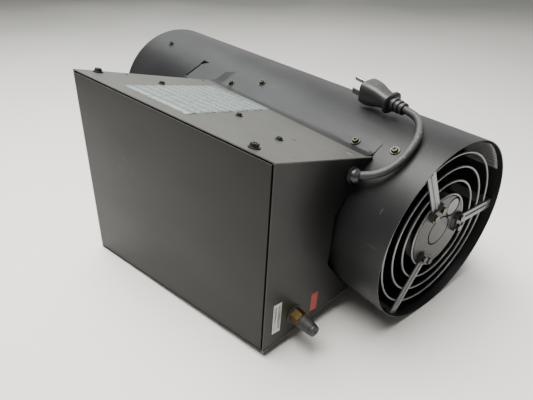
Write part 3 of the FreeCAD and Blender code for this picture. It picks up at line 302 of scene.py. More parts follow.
# a material with its tree, its surface shader and the piece's own coordinates
def newMaterial(name):
    material = bpy.data.materials.new(name)
    material.use_nodes = True
    tree = material.node_tree
    shader = tree.nodes["Principled BSDF"]
    position = tree.nodes.new("ShaderNodeTexCoord").outputs["Object"]
    return material, tree, shader, position


# a height that tilts the surface's light
def bumped(tree, shader, height, strength, distance):
    bump = tree.nodes.new("ShaderNodeBump")
    bump.inputs["Strength"].default_value = strength
    bump.inputs["Distance"].default_value = distance
    tree.links.new(height, bump.inputs["Height"])
    tree.links.new(bump.outputs["Normal"], shader.inputs["Normal"])


# a shader group set into a material with its own values
def placeGroup(tree, group, position, **values):
    node = tree.nodes.new("ShaderNodeGroup")
    node.node_tree = group
    tree.links.new(position, node.inputs["Position"])
    for name, value in values.items():
        node.inputs[name].default_value = value
    return node


dustTone = (0.42, 0.41, 0.39)
# what a finish has where its own entry below says nothing else
plainCoat = {"roughness": 0.45, "spread": 0.05, "metallic": 0.0, "specular": 0.5, "bump": 0.15,
             "depth": 0.0002, "pebble": 900.0, "dust": 0.2, "dustRoughness": 0.3, "scratches": 0.3,
             "bare": (0.25, 0.25, 0.25)}


# sprayed or moulded finish: base tone drifting to a second one, pebble bump, scratches and dust
def coatedMaterial(name, entry):
    look = {**plainCoat, "second": entry["color"], **entry}
    material, tree, shader, position = newMaterial(name)
    coat = placeGroup(tree, sprayCoat, position, Pebble=look["pebble"], Dust=look["dust"])
    marks = placeGroup(tree, scuffs, position, Amount=look["scratches"])
    tone = mixColors(tree, coat.outputs["Tone"], look["color"], look["second"])
    worn = mixColors(tree, marks.outputs["Scratch"], tone, look["bare"])
    dusty = mixColors(tree, coat.outputs["Dust mask"], worn, dustTone)
    tree.links.new(dusty, shader.inputs["Base Color"])
    smoothest, roughest = look["roughness"] - look["spread"], look["roughness"] + look["spread"]
    smear = rampNode(tree, marks.outputs["Smear"], 0.3, 0.7, smoothest, roughest)
    dulled = mathNode(tree, "MULTIPLY", coat.outputs["Dust mask"], look["dustRoughness"])
    tree.links.new(mathNode(tree, "ADD", smear, dulled), shader.inputs["Roughness"])
    shader.inputs["Metallic"].default_value = look["metallic"]
    shader.inputs["Specular IOR Level"].default_value = look["specular"]
    bumped(tree, shader, coat.outputs["Height"], look["bump"], look["depth"])
    return material


looks = {
    "tubePaint": {"color": (0.0125, 0.0137, 0.0137), "second": (0.008, 0.009, 0.0093),
                  "roughness": 0.44, "dust": 0.05, "bump": 0.12, "specular": 0.34},
    "panelPaint": {"color": (0.066, 0.066, 0.058), "second": (0.056, 0.056, 0.049), "roughness": 0.42,
                   "dust": 0.10, "bump": 0.16},
    "basePaint": {"color": (0.009, 0.0085, 0.007), "second": (0.006, 0.0058, 0.005), "specular": 0.20,
                  "roughness": 0.34, "dust": 0.0, "bump": 0.12, "scratches": 0.10},
    "platePaint": {"color": (0.006, 0.006, 0.0063), "second": (0.004, 0.004, 0.004), "roughness": 0.40,
                   "specular": 0.42, "dust": 0.05, "bump": 0.14},
    # lighter colour of the base's rounded edges: painted highlight
    "edgeHighlight": {"color": (0.060, 0.060, 0.057), "second": (0.035, 0.034, 0.032), "roughness": 0.30,
                 "dust": 0.1, "scratches": 0.8},
    "lipPaint": {"color": (0.110, 0.110, 0.095), "second": (0.070, 0.070, 0.062), "roughness": 0.36,
                 "dust": 0.2, "scratches": 0.6},
    # black laid in gaps, slots, the slit and the disc's groove: painted shade
    "paintedShadeBlack": {"color": (0.0015, 0.0015, 0.0016), "roughness": 0.9, "specular": 0.05, "dust": 0.0},
    "bushingMoulding": {"color": (0.014, 0.014, 0.015), "second": (0.022, 0.022, 0.023),
                        "roughness": 0.30, "dust": 0.2, "bump": 0.1},
    "redFilm": {"color": (0.42, 0.030, 0.022), "second": (0.36, 0.028, 0.022), "roughness": 0.40,
                "dust": 0.1, "bump": 0.05},
    "darkPaint": {"color": (0.004, 0.004, 0.0045), "roughness": 0.5, "dust": 0.05},
    "chamberSteel": {"color": (0.30, 0.28, 0.26), "second": (0.20, 0.17, 0.16), "roughness": 0.42,
                     "metallic": 0.9, "spread": 0.12, "pebble": 300.0},
    "burnerSteel": {"color": (0.34, 0.32, 0.30), "second": (0.24, 0.22, 0.22), "roughness": 0.38,
                    "metallic": 0.9, "spread": 0.1},
    "wireZinc": {"color": (0.27, 0.275, 0.28), "second": (0.19, 0.195, 0.20), "roughness": 0.40,
                 "metallic": 0.75, "spread": 0.1, "dust": 0.3},
    "discPaint": {"color": (0.040, 0.040, 0.039), "second": (0.028, 0.028, 0.027), "roughness": 0.42,
                  "metallic": 0.4, "dust": 0.3},
    "leadGrey": {"color": (0.30, 0.30, 0.30), "second": (0.22, 0.22, 0.22), "roughness": 0.5, "dust": 0.3},
    "fanAluminium": {"color": (0.24, 0.245, 0.25), "second": (0.18, 0.185, 0.19), "roughness": 0.35,
                     "metallic": 0.95},
    "groundSteel": {"color": (0.55, 0.55, 0.56), "second": (0.45, 0.45, 0.46), "roughness": 0.3,
                    "metallic": 1.0},
    "screwOlive": {"color": (0.085, 0.082, 0.058), "second": (0.035, 0.034, 0.026), "roughness": 0.30,
                   "metallic": 0.8, "spread": 0.1},
    "screwBlack": {"color": (0.014, 0.014, 0.013), "second": (0.032, 0.031, 0.028), "roughness": 0.36,
                   "metallic": 0.5},
    "brassTurned": {"color": (0.42, 0.30, 0.11), "second": (0.24, 0.16, 0.06), "roughness": 0.32,
                    "metallic": 1.0, "spread": 0.12, "bare": (0.7, 0.55, 0.3)},
    "copperDrawn": {"color": (0.62, 0.34, 0.22), "second": (0.45, 0.22, 0.14), "roughness": 0.3,
                    "metallic": 1.0},
    "blackRubber": {"color": (0.016, 0.016, 0.017), "second": (0.026, 0.026, 0.028), "roughness": 0.55,
                    "dust": 0.35, "bump": 0.3},
    "castAlloy": {"color": (0.42, 0.42, 0.43), "second": (0.34, 0.34, 0.35), "roughness": 0.45,
                  "metallic": 0.9, "bump": 0.5, "pebble": 600.0},
    "blackMoulding": {"color": (0.020, 0.020, 0.022), "second": (0.028, 0.028, 0.030),
                      "roughness": 0.42, "dust": 0.25, "bump": 0.25},
    "redMoulding": {"color": (0.30, 0.015, 0.010), "second": (0.24, 0.012, 0.010), "roughness": 0.35,
                    "dust": 0.2},
    "ceramic": {"color": (0.78, 0.75, 0.68), "second": (0.70, 0.66, 0.58), "roughness": 0.25,
                "dust": 0.1, "bump": 0.05},
    "bluedWire": {"color": (0.22, 0.20, 0.19), "second": (0.14, 0.13, 0.15), "roughness": 0.4,
                  "metallic": 0.9},
    "platedPin": {"color": (0.62, 0.60, 0.54), "second": (0.50, 0.47, 0.40), "roughness": 0.25,
                  "metallic": 1.0},
}
materials = {name: coatedMaterial(name, entry) for name, entry in looks.items()}


# blank print: blocks of pale rows on a film, from bricks on the UV map broken up by stretched noise
def printedFilm(name, film, ink, bricks, fine, cover):
    material, tree, shader, position = newMaterial(name)
    uv = tree.nodes.new("ShaderNodeTexCoord").outputs["UV"]
    brick = tree.nodes.new("ShaderNodeTexBrick")
    brick.offset = bricks["offset"]
    brick.inputs["Scale"].default_value = 1.0
    brick.inputs["Brick Width"].default_value = bricks["width"]
    brick.inputs["Row Height"].default_value = bricks["height"]
    brick.inputs["Mortar Size"].default_value = bricks["gap"]
    brick.inputs["Mortar Smooth"].default_value = 0.2
    tree.links.new(uv, brick.inputs["Vector"])
    rows = noiseNode(tree, stretched(tree, uv, fine), 1.0, 1.0)
    speckle = rampNode(tree, rows, *cover)
    inked = mathNode(tree, "MULTIPLY", mathNode(tree, "SUBTRACT", 1.0, brick.outputs["Fac"]), speckle, True)
    tone = mixColors(tree, inked, film, ink)
    coat = placeGroup(tree, sprayCoat, position, Pebble=700.0, Dust=0.1)
    tree.links.new(mixColors(tree, coat.outputs["Dust mask"], tone, dustTone), shader.inputs["Base Color"])
    shader.inputs["Roughness"].default_value = 0.38
    bumped(tree, shader, coat.outputs["Height"], 0.08, 0.0001)
    return material


prints = {
    "ratingPrint": {"film": (0.040, 0.042, 0.038), "ink": (0.235, 0.285, 0.285),
                    "bricks": {"offset": 0.37, "width": 0.61, "height": 0.092, "gap": 0.0075},
                    "fine": (30.0, 130.0, 1.0), "cover": (0.34, 0.56)},
    "barPrint": {"film": (0.62, 0.62, 0.60), "ink": (0.03, 0.03, 0.03),
                 "bricks": {"offset": 0.0, "width": 0.98, "height": 0.5, "gap": 0.09},
                 "fine": (1.0, 26.0, 1.0), "cover": (0.50, 0.53)},
    "intakePrint": {"film": (0.10, 0.10, 0.10), "ink": (0.26, 0.27, 0.27),
                    "bricks": {"offset": 0.25, "width": 0.6, "height": 0.11, "gap": 0.03},
                    "fine": (60.0, 20.0, 1.0), "cover": (0.40, 0.60)},
}
for name, entry in prints.items():
    materials[name] = printedFilm(name, **entry)
print("materials:", len(materials))

wearing = {
    "tubePaint": ["outer_tube"],
    "panelPaint": ["upper_side_panel", "lower_side_panel"],
    "basePaint": ["base_plate"],
    "platePaint": ["front_plate", "rear_plate"],
    "chamberSteel": ["combustion_chamber", "chamber_spacers", "outlet_baffle"],
    "burnerSteel": ["burner_cup", "burner_bracket"],
    "wireZinc": ["guard_rings", "guard_arm_far", "guard_arm_lower", "guard_arm_upper"],
    "discPaint": ["motor_mount_disc"],
    "leadGrey": ["lead_bushing"],
    "darkPaint": ["fan_motor"],
    "fanAluminium": ["fan_wheel"],
    "groundSteel": ["motor_shaft", "knob_spindle"],
    "screwOlive": ["tube_screws", "mount_nuts"],
    "screwBlack": ["base_screws", "panel_screws"],
    "brassTurned": ["inlet_fitting", "gas_nozzle"],
    "copperDrawn": ["gas_pipe"],
    "blackRubber": ["inlet_grommet", "inlet_cap", "cord_bushing", "power_cord"],
    "castAlloy": ["gas_valve"],
    "blackMoulding": ["mount_clips", "plug_body", "control_knob", "output_control", "switch_housing",
                      "ignition_module"],
    "redMoulding": ["switch_rocker", "check_sticker"],
    "ceramic": ["igniter_ceramic", "sensor_ceramic", "rating_label", "barcode_label"],
    "bluedWire": ["igniter_rod", "flame_sensor_rod"],
    "platedPin": ["plug_blades", "plug_pin"],
}
for finish, nodeNames in wearing.items():
    for nodeName in nodeNames:
        mesh = bpy.data.objects[nodeName].data
        mesh.materials.clear()
        mesh.materials.append(materials[finish])

view = {"place": (0.4724, -0.3080, 0.4057), "right": (0.6172, 0.7868, -0.0041),
        "up": (-0.4331, 0.3443, 0.8330), "lens": 30.76}


# a camera at its place, its axes set square to each other
def makeCamera():
    right, up = Vector(view["right"]).normalized(), Vector(view["up"]).normalized()
    back = right.cross(up).normalized()
    up = back.cross(right).normalized()
    turn = Matrix((right, up, back)).transposed()
    data = bpy.data.cameras.new("viewpoint")
    data.lens = view["lens"]
    data.sensor_width = 36.0
    data.sensor_fit = "HORIZONTAL"
    camera = bpy.data.objects.new("viewpoint", data)
    camera.matrix_world = Matrix.Translation(view["place"]) @ turn.to_4x4()
    bpy.context.collection.objects.link(camera)
    bpy.context.scene.camera = camera


softBoxes = {
    "overhead": {"place": (-0.10, -0.25, 1.8), "towards": (0.05, -0.08, 0.0), "size": (1.5, 1.1),
                 "power": 86.0, "color": (1.0, 0.985, 0.95)},
    "backLight": {"place": (-1.4, 0.30, 1.55), "towards": (0.05, 0.0, 0.2), "size": (1.1, 0.9),
                  "power": 15.0, "color": (0.94, 0.97, 1.0)},
}
studioGlow = {"base": 0.15, "glow": 1.15, "towards": (-0.66, 0.74, 0.05), "spread": (0.45, 1.0),
              "color": (0.98, 0.985, 0.97)}


# soft boxes aimed at the heater, and a glow that comes from one side of the room
def makeLights():
    for name, box in softBoxes.items():
        data = bpy.data.lights.new(name, "AREA")
        data.shape = "RECTANGLE"
        data.size, data.size_y = box["size"]
        data.energy = box["power"]
        data.color = box["color"]
        lamp = bpy.data.objects.new(name, data)
        lamp.location = box["place"]
        aim = Vector(box["towards"]) - Vector(box["place"])
        lamp.rotation_euler = aim.to_track_quat("-Z", "Y").to_euler()
        bpy.context.collection.objects.link(lamp)
    world = bpy.data.worlds.new("studio")
    world.use_nodes = True
    tree = world.node_tree
    aimed = tree.nodes.new("ShaderNodeVectorMath")
    aimed.operation = "DOT_PRODUCT"
    aimed.inputs[1].default_value = Vector(studioGlow["towards"]).normalized()
    tree.links.new(tree.nodes.new("ShaderNodeTexCoord").outputs["Generated"], aimed.inputs[0])
    strength = rampNode(tree, aimed.outputs["Value"], *studioGlow["spread"], studioGlow["base"],
                        studioGlow["base"] + studioGlow["glow"])
    background = tree.nodes["Background"]
    background.inputs["Color"].default_value = (*studioGlow["color"], 1.0)
    tree.links.new(strength, background.inputs["Strength"])
    bpy.context.scene.world = world


sweep = {"reach": 12.0, "steps": 24, "near": (0.96, 0.942, 0.90), "far": (0.165, 0.165, 0.148),
         "fade": (-0.05, 1.7), "away": (-0.72, 0.69, 0.0), "clouds": 0.05, "smudge": (0.30, 0.29, 0.28)}


# a wide flat sheet of pale paper, its colour painted darker away from the heater as shade where the light
# falls off
def makeSweep():
    side = np.linspace(-sweep["reach"], sweep["reach"], sweep["steps"])
    x, y = np.meshgrid(side, side, indexing="ij")
    points = np.stack([x, y, np.zeros_like(x)], -1).reshape(-1, 3)
    paper = meshFrom("paper", points, gridFaces(*x.shape))
    material, tree, shader, position = newMaterial("paperSheet")
    distance = tree.nodes.new("ShaderNodeVectorMath")
    distance.operation = "DOT_PRODUCT"
    distance.inputs[1].default_value = sweep["away"]
    tree.links.new(position, distance.inputs[0])
    # painted shade: the paper's colour darkens from near to far away from the heater
    away = rampNode(tree, distance.outputs["Value"], *sweep["fade"])
    cloudNoise = noiseNode(tree, position, 1.6, 2.0)
    clouds = rampNode(tree, cloudNoise, 0.3, 0.7, -sweep["clouds"], sweep["clouds"])
    tone = mixColors(tree, mathNode(tree, "ADD", away, clouds, True), sweep["near"], sweep["far"])
    streaks = noiseNode(tree, stretched(tree, position, (3.0, 26.0, 1.0)), 2.0, 4.0)
    marks = rampNode(tree, streaks, 0.70, 0.78, 0.0, 0.10)
    tree.links.new(mixColors(tree, marks, tone, sweep["smudge"]), shader.inputs["Base Color"])
    shader.inputs["Roughness"].default_value = 0.6
    bumped(tree, shader, noiseNode(tree, position, 160.0, 3.0), 0.05, 0.001)
    paper.data.materials.append(material)


makeCamera()
makeLights()
makeSweep()
print("camera, lights and floor")

# the lead's route in millimetres, from the strain relief to the plug
lead = {"diameter": 0.008,
        "route": [(226.0, -13.2, 184.9), (240.3, -7.6, 187.4), (251.5, 3.2, 193.0), (256.4, 18.5, 201.2),
                  (255.3, 35.5, 209.6), (250.0, 51.0, 215.9), (241.0, 63.5, 221.0), (228.8, 71.0, 224.2),
                  (214.5, 72.5, 225.0)]}


# a round lead along one smooth curve
def makeLead():
    data = bpy.data.curves.new("power_lead", "CURVE")
    data.dimensions = "3D"
    data.bevel_depth = lead["diameter"] / 2
    data.bevel_resolution = 8
    data.resolution_u = 24
    data.use_fill_caps = True
    spline = data.splines.new("NURBS")
    spline.points.add(len(lead["route"]) - 1)
    for point, place in zip(spline.points, lead["route"]):
        point.co = (*(Vector(place) / 1000), 1.0)
    spline.order_u = 3
    spline.use_endpoint_u = True
    cord = bpy.data.objects.new("power_lead", data)
    bpy.context.collection.objects.link(cord)
    data.materials.append(materials["blackRubber"])
    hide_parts("power_cord")
    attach(cord, "housing")


# the skirt leaves the tube at this angle, and its rear corner is cut away
skirt = {"angle": 62.0, "width": 0.0195, "lift": 0.00022, "front": -0.118,
         "cornerLength": 0.030, "cornerDepth": 0.0168, "cornerBlend": 0.25, "screwDepth": 0.66}
# the fold's sheet: how far it runs on to the tube, where its bend starts, its heights on the side panel, and
# how it sinks out of sight at its tube, front and rear edges (over what distance, how deep)
fold = {"ontoTube": 0.016, "bendStart": 0.006, "panelDrops": (0.0725, 0.0775),
        "panelLifts": (0.00015, -0.00035), "rearGap": 0.0026, "rearRun": 0.040, "tubeSink": (0.014, 0.0005),
        "frontSink": (0.015, 0.0004), "rearSink": (0.012, 0.00042), "rearSinkRun": (0.0135, 0.006),
        "gauge": 0.0003}
# the slit ahead of the skirt, drawn as a black strip of painted shade, and the black notch of painted shade
# that widens it on the tube
slit = {"run": (0.002, 0.0335), "across": (-0.0002, 0.0017), "lift": 0.00035, "notchLift": 0.0004,
        "notchAngles": (1.8, -4.2), "notchBack": 0.0012, "notchWidth": 0.0022, "notchSpread": 0.0105}


# the flat that leaves the tube at the skirt angle: tangent point + along * direction, lifted square to it
def skirtLine(along, side, lift):
    angle = math.radians(skirt["angle"])
    radius = heater["tubeRadius"] + lift
    across = side * (radius * math.sin(angle) - along * math.cos(angle))
    return across, -radius * math.cos(angle) - along * math.sin(angle)


# across the fold at x: along the tube's skirt, round a small bend, a little way down the side panel;
# the bend is (1-t)^2 start + 2t(1-t) corner + t^2 end, its corner where the two straight runs would meet
def foldProfile(side, x):
    along = np.linspace(-fold["ontoTube"], skirt["width"] - fold["bendStart"], 16)
    ahead = (rearFace - x) / skirt["cornerLength"]
    reached = np.clip((along / skirt["cornerDepth"] + 1.0 - ahead) / skirt["cornerBlend"], 0, 1)
    roundness = np.where(along < 0, 1.0, reached * reached * (3 - 2 * reached))
    rounding = roundness * along ** 2 / (2 * heater["tubeRadius"])
    sink = np.clip(-along / fold["tubeSink"][0], 0, 1) * fold["tubeSink"][1]
    sink += np.clip(1 - (x - frontFace) / fold["frontSink"][0], 0, 1) * fold["frontSink"][1]
    nearRear = np.clip(1 - (rearFace - fold["rearGap"] - x) / fold["rearSink"][0], 0, 1)
    nearTube = np.clip((fold["rearSinkRun"][0] - along) / fold["rearSinkRun"][1], 0, 1)
    sink += nearRear * nearTube * fold["rearSink"][1]
    upperY, upperZ = skirtLine(along, side, skirt["lift"] - rounding - sink)
    slope = math.radians(heater["flankSlope"])
    drop = np.linspace(*fold["panelDrops"], 6)
    half = heater["frontHalfWidth"] - (heater["frontDrop"] - drop) * math.tan(slope)
    lowerY, lowerZ = side * (half + np.linspace(*fold["panelLifts"], 6)), -drop
    start, end = np.array([upperY[-1], upperZ[-1]]), np.array([lowerY[0], lowerZ[0]])
    first = np.array([upperY[-1] - upperY[-2], upperZ[-1] - upperZ[-2]])
    last = np.array([lowerY[1] - lowerY[0], lowerZ[1] - lowerZ[0]])
    cross = first[0] * last[1] - first[1] * last[0]
    reach = ((end - start)[0] * last[1] - (end - start)[1] * last[0]) / cross
    corner = start + first * reach
    t = np.linspace(0, 1, 9)[1:-1, None]
    bend = (1 - t) ** 2 * start + 2 * t * (1 - t) * corner + t ** 2 * end
    return np.concatenate([upperY, bend[:, 0], lowerY]), np.concatenate([upperZ, bend[:, 1], lowerZ])


# the folded seam between skirt and side panel: one profile across the fold at each step along it
def makeFold(name, side):
    coarse = np.linspace(frontFace + 0.0002, rearFace - fold["rearRun"], 12)
    fine = np.linspace(rearFace - fold["rearRun"] + 0.002, rearFace - fold["rearGap"], 20)
    steps = np.concatenate([coarse, fine])
    rows = [foldProfile(side, x) for x in steps]
    across, up = (np.stack(column) for column in zip(*rows))
    xs = np.broadcast_to(steps[:, None], across.shape)
    piece = weld(meshFrom(name, laid(xs, across, up).reshape(-1, 3), gridFaces(*xs.shape)), outwards=False)
    thicken(piece, fold["gauge"])
    finished(piece, "tubePaint")


# painted shade of the cut in front of the skirt: a black strip along the skirt's front end, with a black
# notch at its top
def makeSlitShade(name, side):
    edges = skirt["front"] + np.array(slit["across"])
    along, x = np.meshgrid(np.linspace(*slit["run"], 16), edges, indexing="ij")
    strip = laid(x, *skirtLine(along, side, slit["lift"])).reshape(-1, 3), gridFaces(*x.shape)
    t, wide = np.meshgrid(np.linspace(0, 1, 8), np.array([0.0, 1.0]), indexing="ij")
    x = skirt["front"] - slit["notchBack"] + wide * (slit["notchWidth"] + slit["notchSpread"] * (1 - t))
    angle = skirt["angle"] + slit["notchAngles"][0] + slit["notchAngles"][1] * t
    notch = tubePoint(x, side * angle, heater["tubeRadius"] + slit["notchLift"]).reshape(-1, 3)
    piece = joined(name, [strip, (notch, gridFaces(*t.shape))])
    thicken(piece, fold["gauge"])
    finished(piece, "paintedShadeBlack")


for sideName, side in (("upper", -1), ("lower", 1)):
    makeFold("fold_" + sideName, side)
    makeSlitShade("slit_shade_" + sideName, side)
print("skirts")

rim = {"inset": 0.0030, "radius": 0.0007, "gapInset": 0.0021, "gapRadius": 0.0008, "lipRadius": 0.0016,
       "lipInset": 0.0013, "lipEnds": (0.0022, 0.0044), "lipLift": 0.0011}


# a point on the base plane: the plane tilts down towards the front
def baseEdge(x, across, lift=0.0):
    return laid(x, across, -(heater["rearDrop"] + (rearFace - x) * tilt) + lift)


# half the base's width at x, less an inset
def baseHalf(x, inset):
    drop = heater["rearDrop"] + (rearFace - x) * tilt
    slope = math.tan(math.radians(heater["flankSlope"]))
    return heater["frontHalfWidth"] - (heater["frontDrop"] - drop) * slope - inset


# the base sheet's edges in a lighter colour as a painted highlight, the gap round it in black as painted
# shade, and the front plate's lip, all thin rods
def makeRims():
    front, rear, inset = frontFace + rim["inset"], rearFace - rim["inset"], rim["inset"]
    lift = rim["radius"] * 0.75
    corners = [(front, -baseHalf(front, inset)), (rear, -baseHalf(rear, inset)),
               (rear, baseHalf(rear, inset)), (front, baseHalf(front, inset))]
    ends = [(corners[i], corners[(i + 1) % 4]) for i in range(4)]
    bright = [rodGrid(baseEdge(*first, lift), baseEdge(*last, lift), rim["radius"])
              for first, last in (ends[0], ends[2], ends[3])]
    finished(weld(joined("base_rim", bright)), "edgeHighlight")
    first, last = ends[1]
    # black rods in the gap round the base: painted shade
    dark = [rodGrid(baseEdge(*first), baseEdge(*last), rim["gapRadius"])]
    for side in (-1, 1):
        ahead = baseEdge(front, side * baseHalf(front, rim["gapInset"]), 0.0001)
        behind = baseEdge(rear, side * baseHalf(rear, rim["gapInset"]), 0.0001)
        dark.append(rodGrid(ahead, behind, rim["gapRadius"]))
    finished(weld(joined("base_gap_shade", dark)), "paintedShadeBlack")
    x = frontFace + rim["lipInset"]
    lipStart = baseEdge(x, -baseHalf(x, rim["lipEnds"][0]), rim["lipLift"])
    lipEnd = baseEdge(x, baseHalf(x, rim["lipEnds"][1]), rim["lipLift"])
    lip = rodGrid(lipStart, lipEnd, rim["lipRadius"], 16)
    finished(weld(joined("front_lip", [lip])), "lipPaint")


makeRims()
print("rims")

headShapes = {
    "small": {"hex": 0.0054, "washer": 0.0042, "head": 0.0030},
    "tube": {"hex": 0.0062, "washer": 0.0050, "head": 0.0036},
    "big": {"hex": 0.0074, "washer": 0.0058, "head": 0.0044},
}
screwRows = {
    "tube_screw_heads": {"node": "tube_screws", "shape": "tube", "material": "screwOlive",
                         "slot": "screw_zinc"},
    "base_screw_heads": {"node": "base_screws", "shape": "big", "material": "screwBlack",
                         "slot": "screw_black"},
    "panel_screw_heads": {"node": "panel_screws", "shape": "small", "material": "screwBlack",
                          "slot": "screw_black"},
}


# where the screws sit: the distance from the fan end, and then the angle from the console (tube), the lift
# from the base (base) or the drop below the axis (panel)
screwPlaces = {
    "tube": ((0.0465, 60.0), (0.270, 66.0), (0.514, 66.0)),
    "skirt": (0.089, 0.314),
    "base": ((0.3395, 0.024), (0.094, 0.0115)),
    "panel": ((0.304, 0.1673), (0.184, 0.1403), (0.1116, 0.1456)),
}


# each screw's foot and the way it looks
def screwSeats():
    seats = {"tube_screws": [], "base_screws": [], "panel_screws": []}
    depth = skirt["width"] * skirt["screwDepth"]
    for distance, angle in screwPlaces["tube"]:
        for turn in (-angle, angle, 180.0):
            place = tubePoint(fanEnd - distance, turn, heater["tubeRadius"])
            seats["tube_screws"].append((place, place - tubePoint(fanEnd - distance, turn, 0.0)))
    for side in (-1, 1):
        for distance in screwPlaces["skirt"]:
            place = laid(fanEnd - distance, *skirtLine(depth, side, skirt["lift"]))
            above = laid(fanEnd - distance, *skirtLine(depth, side, skirt["lift"] + 0.01))
            seats["tube_screws"].append((place, above - place))
        for distance, lift in screwPlaces["base"]:
            drop = heater["rearDrop"] + (distance - heater["rearSetback"]) * tilt - lift
            seats["base_screws"].append(panelPoint(fanEnd - distance, drop, side))
        for distance, drop in screwPlaces["panel"]:
            seats["panel_screws"].append(panelPoint(fanEnd - distance, drop, side))
    return seats


# rings from the washer's foot up over a hexagon to the middle; the rings inside drop into a cross
def screwHead(place, out, shape, turn):
    angle = np.linspace(0, 2 * math.pi, 72, endpoint=False)
    hexagon = shape["hex"] / 2 / np.cos((angle % (math.pi / 3)) - math.pi / 6)
    washer, head, recess, arm = shape["washer"], shape["head"], shape["hex"] * 0.36, shape["hex"] * 0.075
    flange = head * 0.30
    rings = [(washer, -0.0004), (washer, flange * 0.6), (washer * 0.94, flange), (hexagon * 1.02, flange),
             (hexagon, head * 0.86), (hexagon * 0.90, head)]
    rings += [(recess * share, head) for share in (1.12, 1.0, 0.97, 0.7, 0.45, 0.22, 0.0)]
    radius = np.array([np.broadcast_to(ring[0], angle.shape) for ring in rings])
    height = np.array([np.broadcast_to(ring[1], angle.shape) for ring in rings])
    fromArms = np.minimum(abs(radius * np.sin(angle)), abs(radius * np.cos(angle)))
    height[(fromArms < arm) & (radius < recess * 0.98)] -= head * 0.42
    axis, first, second = sideways(out)
    spin = angle + turn
    spokes = np.cos(spin)[:, None] * first + np.sin(spin)[:, None] * second
    points = np.asarray(place) + height[..., None] * axis + radius[..., None] * spokes[None]
    return points.reshape(-1, 3), gridFaces(*radius.shape, wrapColumns=True)


# every screw of a row, each turned by its own random angle
def makeScrews():
    order = np.random.default_rng(7)
    seats = screwSeats()
    for name, row in screwRows.items():
        shape = headShapes[row["shape"]]
        heads = [screwHead(foot, out, shape, order.uniform(0, math.pi)) for foot, out in seats[row["node"]]]
        piece = creased(weld(joined(name, heads)), 40)
        finished(piece, row["material"], replaced=(row["node"],))


makeScrews()
print("screws")

films = {
    "rating_film": {"distance": 0.2495, "drop": 0.1445, "size": (0.104, 0.142), "finish": "ratingPrint",
                    "slot": "label_film", "node": "rating_label"},
    "bar_film": {"place": (0.071, -0.1765), "size": (0.040, 0.0105), "finish": "barPrint",
                 "slot": "barcode_film", "node": "barcode_label"},
    "check_film": {"place": (0.0758, -0.1240), "size": (0.0250, 0.0095), "finish": "redFilm",
                   "slot": "sticker_film", "node": "check_sticker"},
}
filmGap, filmGauge, plateRecess = 0.00005, 0.00016, 0.0006
intake = {"distance": 0.006, "width": 0.042, "from": -122.0, "turn": -30.0, "inside": 0.0014,
          "gauge": 0.0002}


# a flat film: centre + s * along + t * up, with s and t also on its UV map
def makeFilm(name, centre, along, up):
    film = films[name]
    width, height = film["size"]
    u, v = np.meshgrid(np.linspace(0, 1, 14), np.linspace(0, 1, 14), indexing="ij")
    along, up = np.asarray(along) / np.linalg.norm(along), np.asarray(up) / np.linalg.norm(up)
    s, t = (u - 0.5) * width, (v - 0.5) * height
    points = np.asarray(centre) + s[..., None] * along + t[..., None] * up
    piece = meshFrom(name, points.reshape(-1, 3), gridFaces(*u.shape))
    paintUv(piece, u.ravel(), v.ravel())
    thicken(piece, filmGauge, 1.0)
    finished(piece, film["finish"], replaced=(film["node"],))


# each corner of a face gets the u and v of its point
def paintUv(piece, u, v):
    layer = piece.data.uv_layers.new(name="film")
    corner = np.empty(len(piece.data.loops), dtype=np.int32)
    piece.data.loops.foreach_get("vertex_index", corner)
    layer.data.foreach_set("uv", np.stack([u[corner], v[corner]], axis=1).ravel())


# the rating film is on the upper side panel, turned to run with the base, the other two on the rear plate
def makeLabels():
    rating = films["rating_film"]
    place, out = panelPoint(fanEnd - rating["distance"], rating["drop"], -1)
    x = np.array([1.0, 0.0, 0.0])
    acrossPanel = np.cross(out, x)
    turn = math.atan(tilt)
    u = math.cos(turn) * x + math.sin(turn) * acrossPanel
    v = -math.sin(turn) * x + math.cos(turn) * acrossPanel
    makeFilm("rating_film", place + out * filmGap, u, v)
    down, side = laid(0, 0, 1) - laid(0, 0, 0), laid(0, 1, 0) - laid(0, 0, 0)
    for name in ("bar_film", "check_film"):
        makeFilm(name, laid(rearFace - plateRecess + filmGap, *films[name]["place"]), side, down)


# a curved film inside the tube's mouth: the tube's inner wall, between two angles
def makeIntakeFilm():
    u, v = np.meshgrid(np.linspace(0, 1, 8), np.linspace(0, 1, 24), indexing="ij")
    x = fanEnd - intake["distance"] - u * intake["width"]
    points = tubePoint(x, intake["from"] + v * intake["turn"], heater["tubeRadius"] - intake["inside"])
    piece = meshFrom("intake_film", points.reshape(-1, 3), gridFaces(*u.shape))
    paintUv(piece, u.ravel(), v.ravel())
    thicken(piece, intake["gauge"])
    finished(piece, "intakePrint")


# a low dome over an oval: rings of the oval rise by height * (1 - r^4), the first two close it from below
def ovalPlate(place, out, along, length, width, height):
    out = np.asarray(out) / np.linalg.norm(out)
    u = np.asarray(along) / np.linalg.norm(along)
    v = np.cross(out, u)
    angle = np.linspace(0, 2 * math.pi, 32, endpoint=False)
    ring = np.array([0.0, 1.0, 1.0, 0.96, 0.85, 0.6, 0.3, 0.0])[:, None]
    rise = height * (1 - ring ** 4) - height * 0.25
    rise[:2] = -height * 0.6
    y = ring * length / 2 * np.cos(angle)
    z = ring * width / 2 * np.sin(angle)
    points = np.asarray(place) + y[..., None] * u + z[..., None] * v + rise[..., None] * out
    return points.reshape(-1, 3), gridFaces(*y.shape, wrapColumns=True)


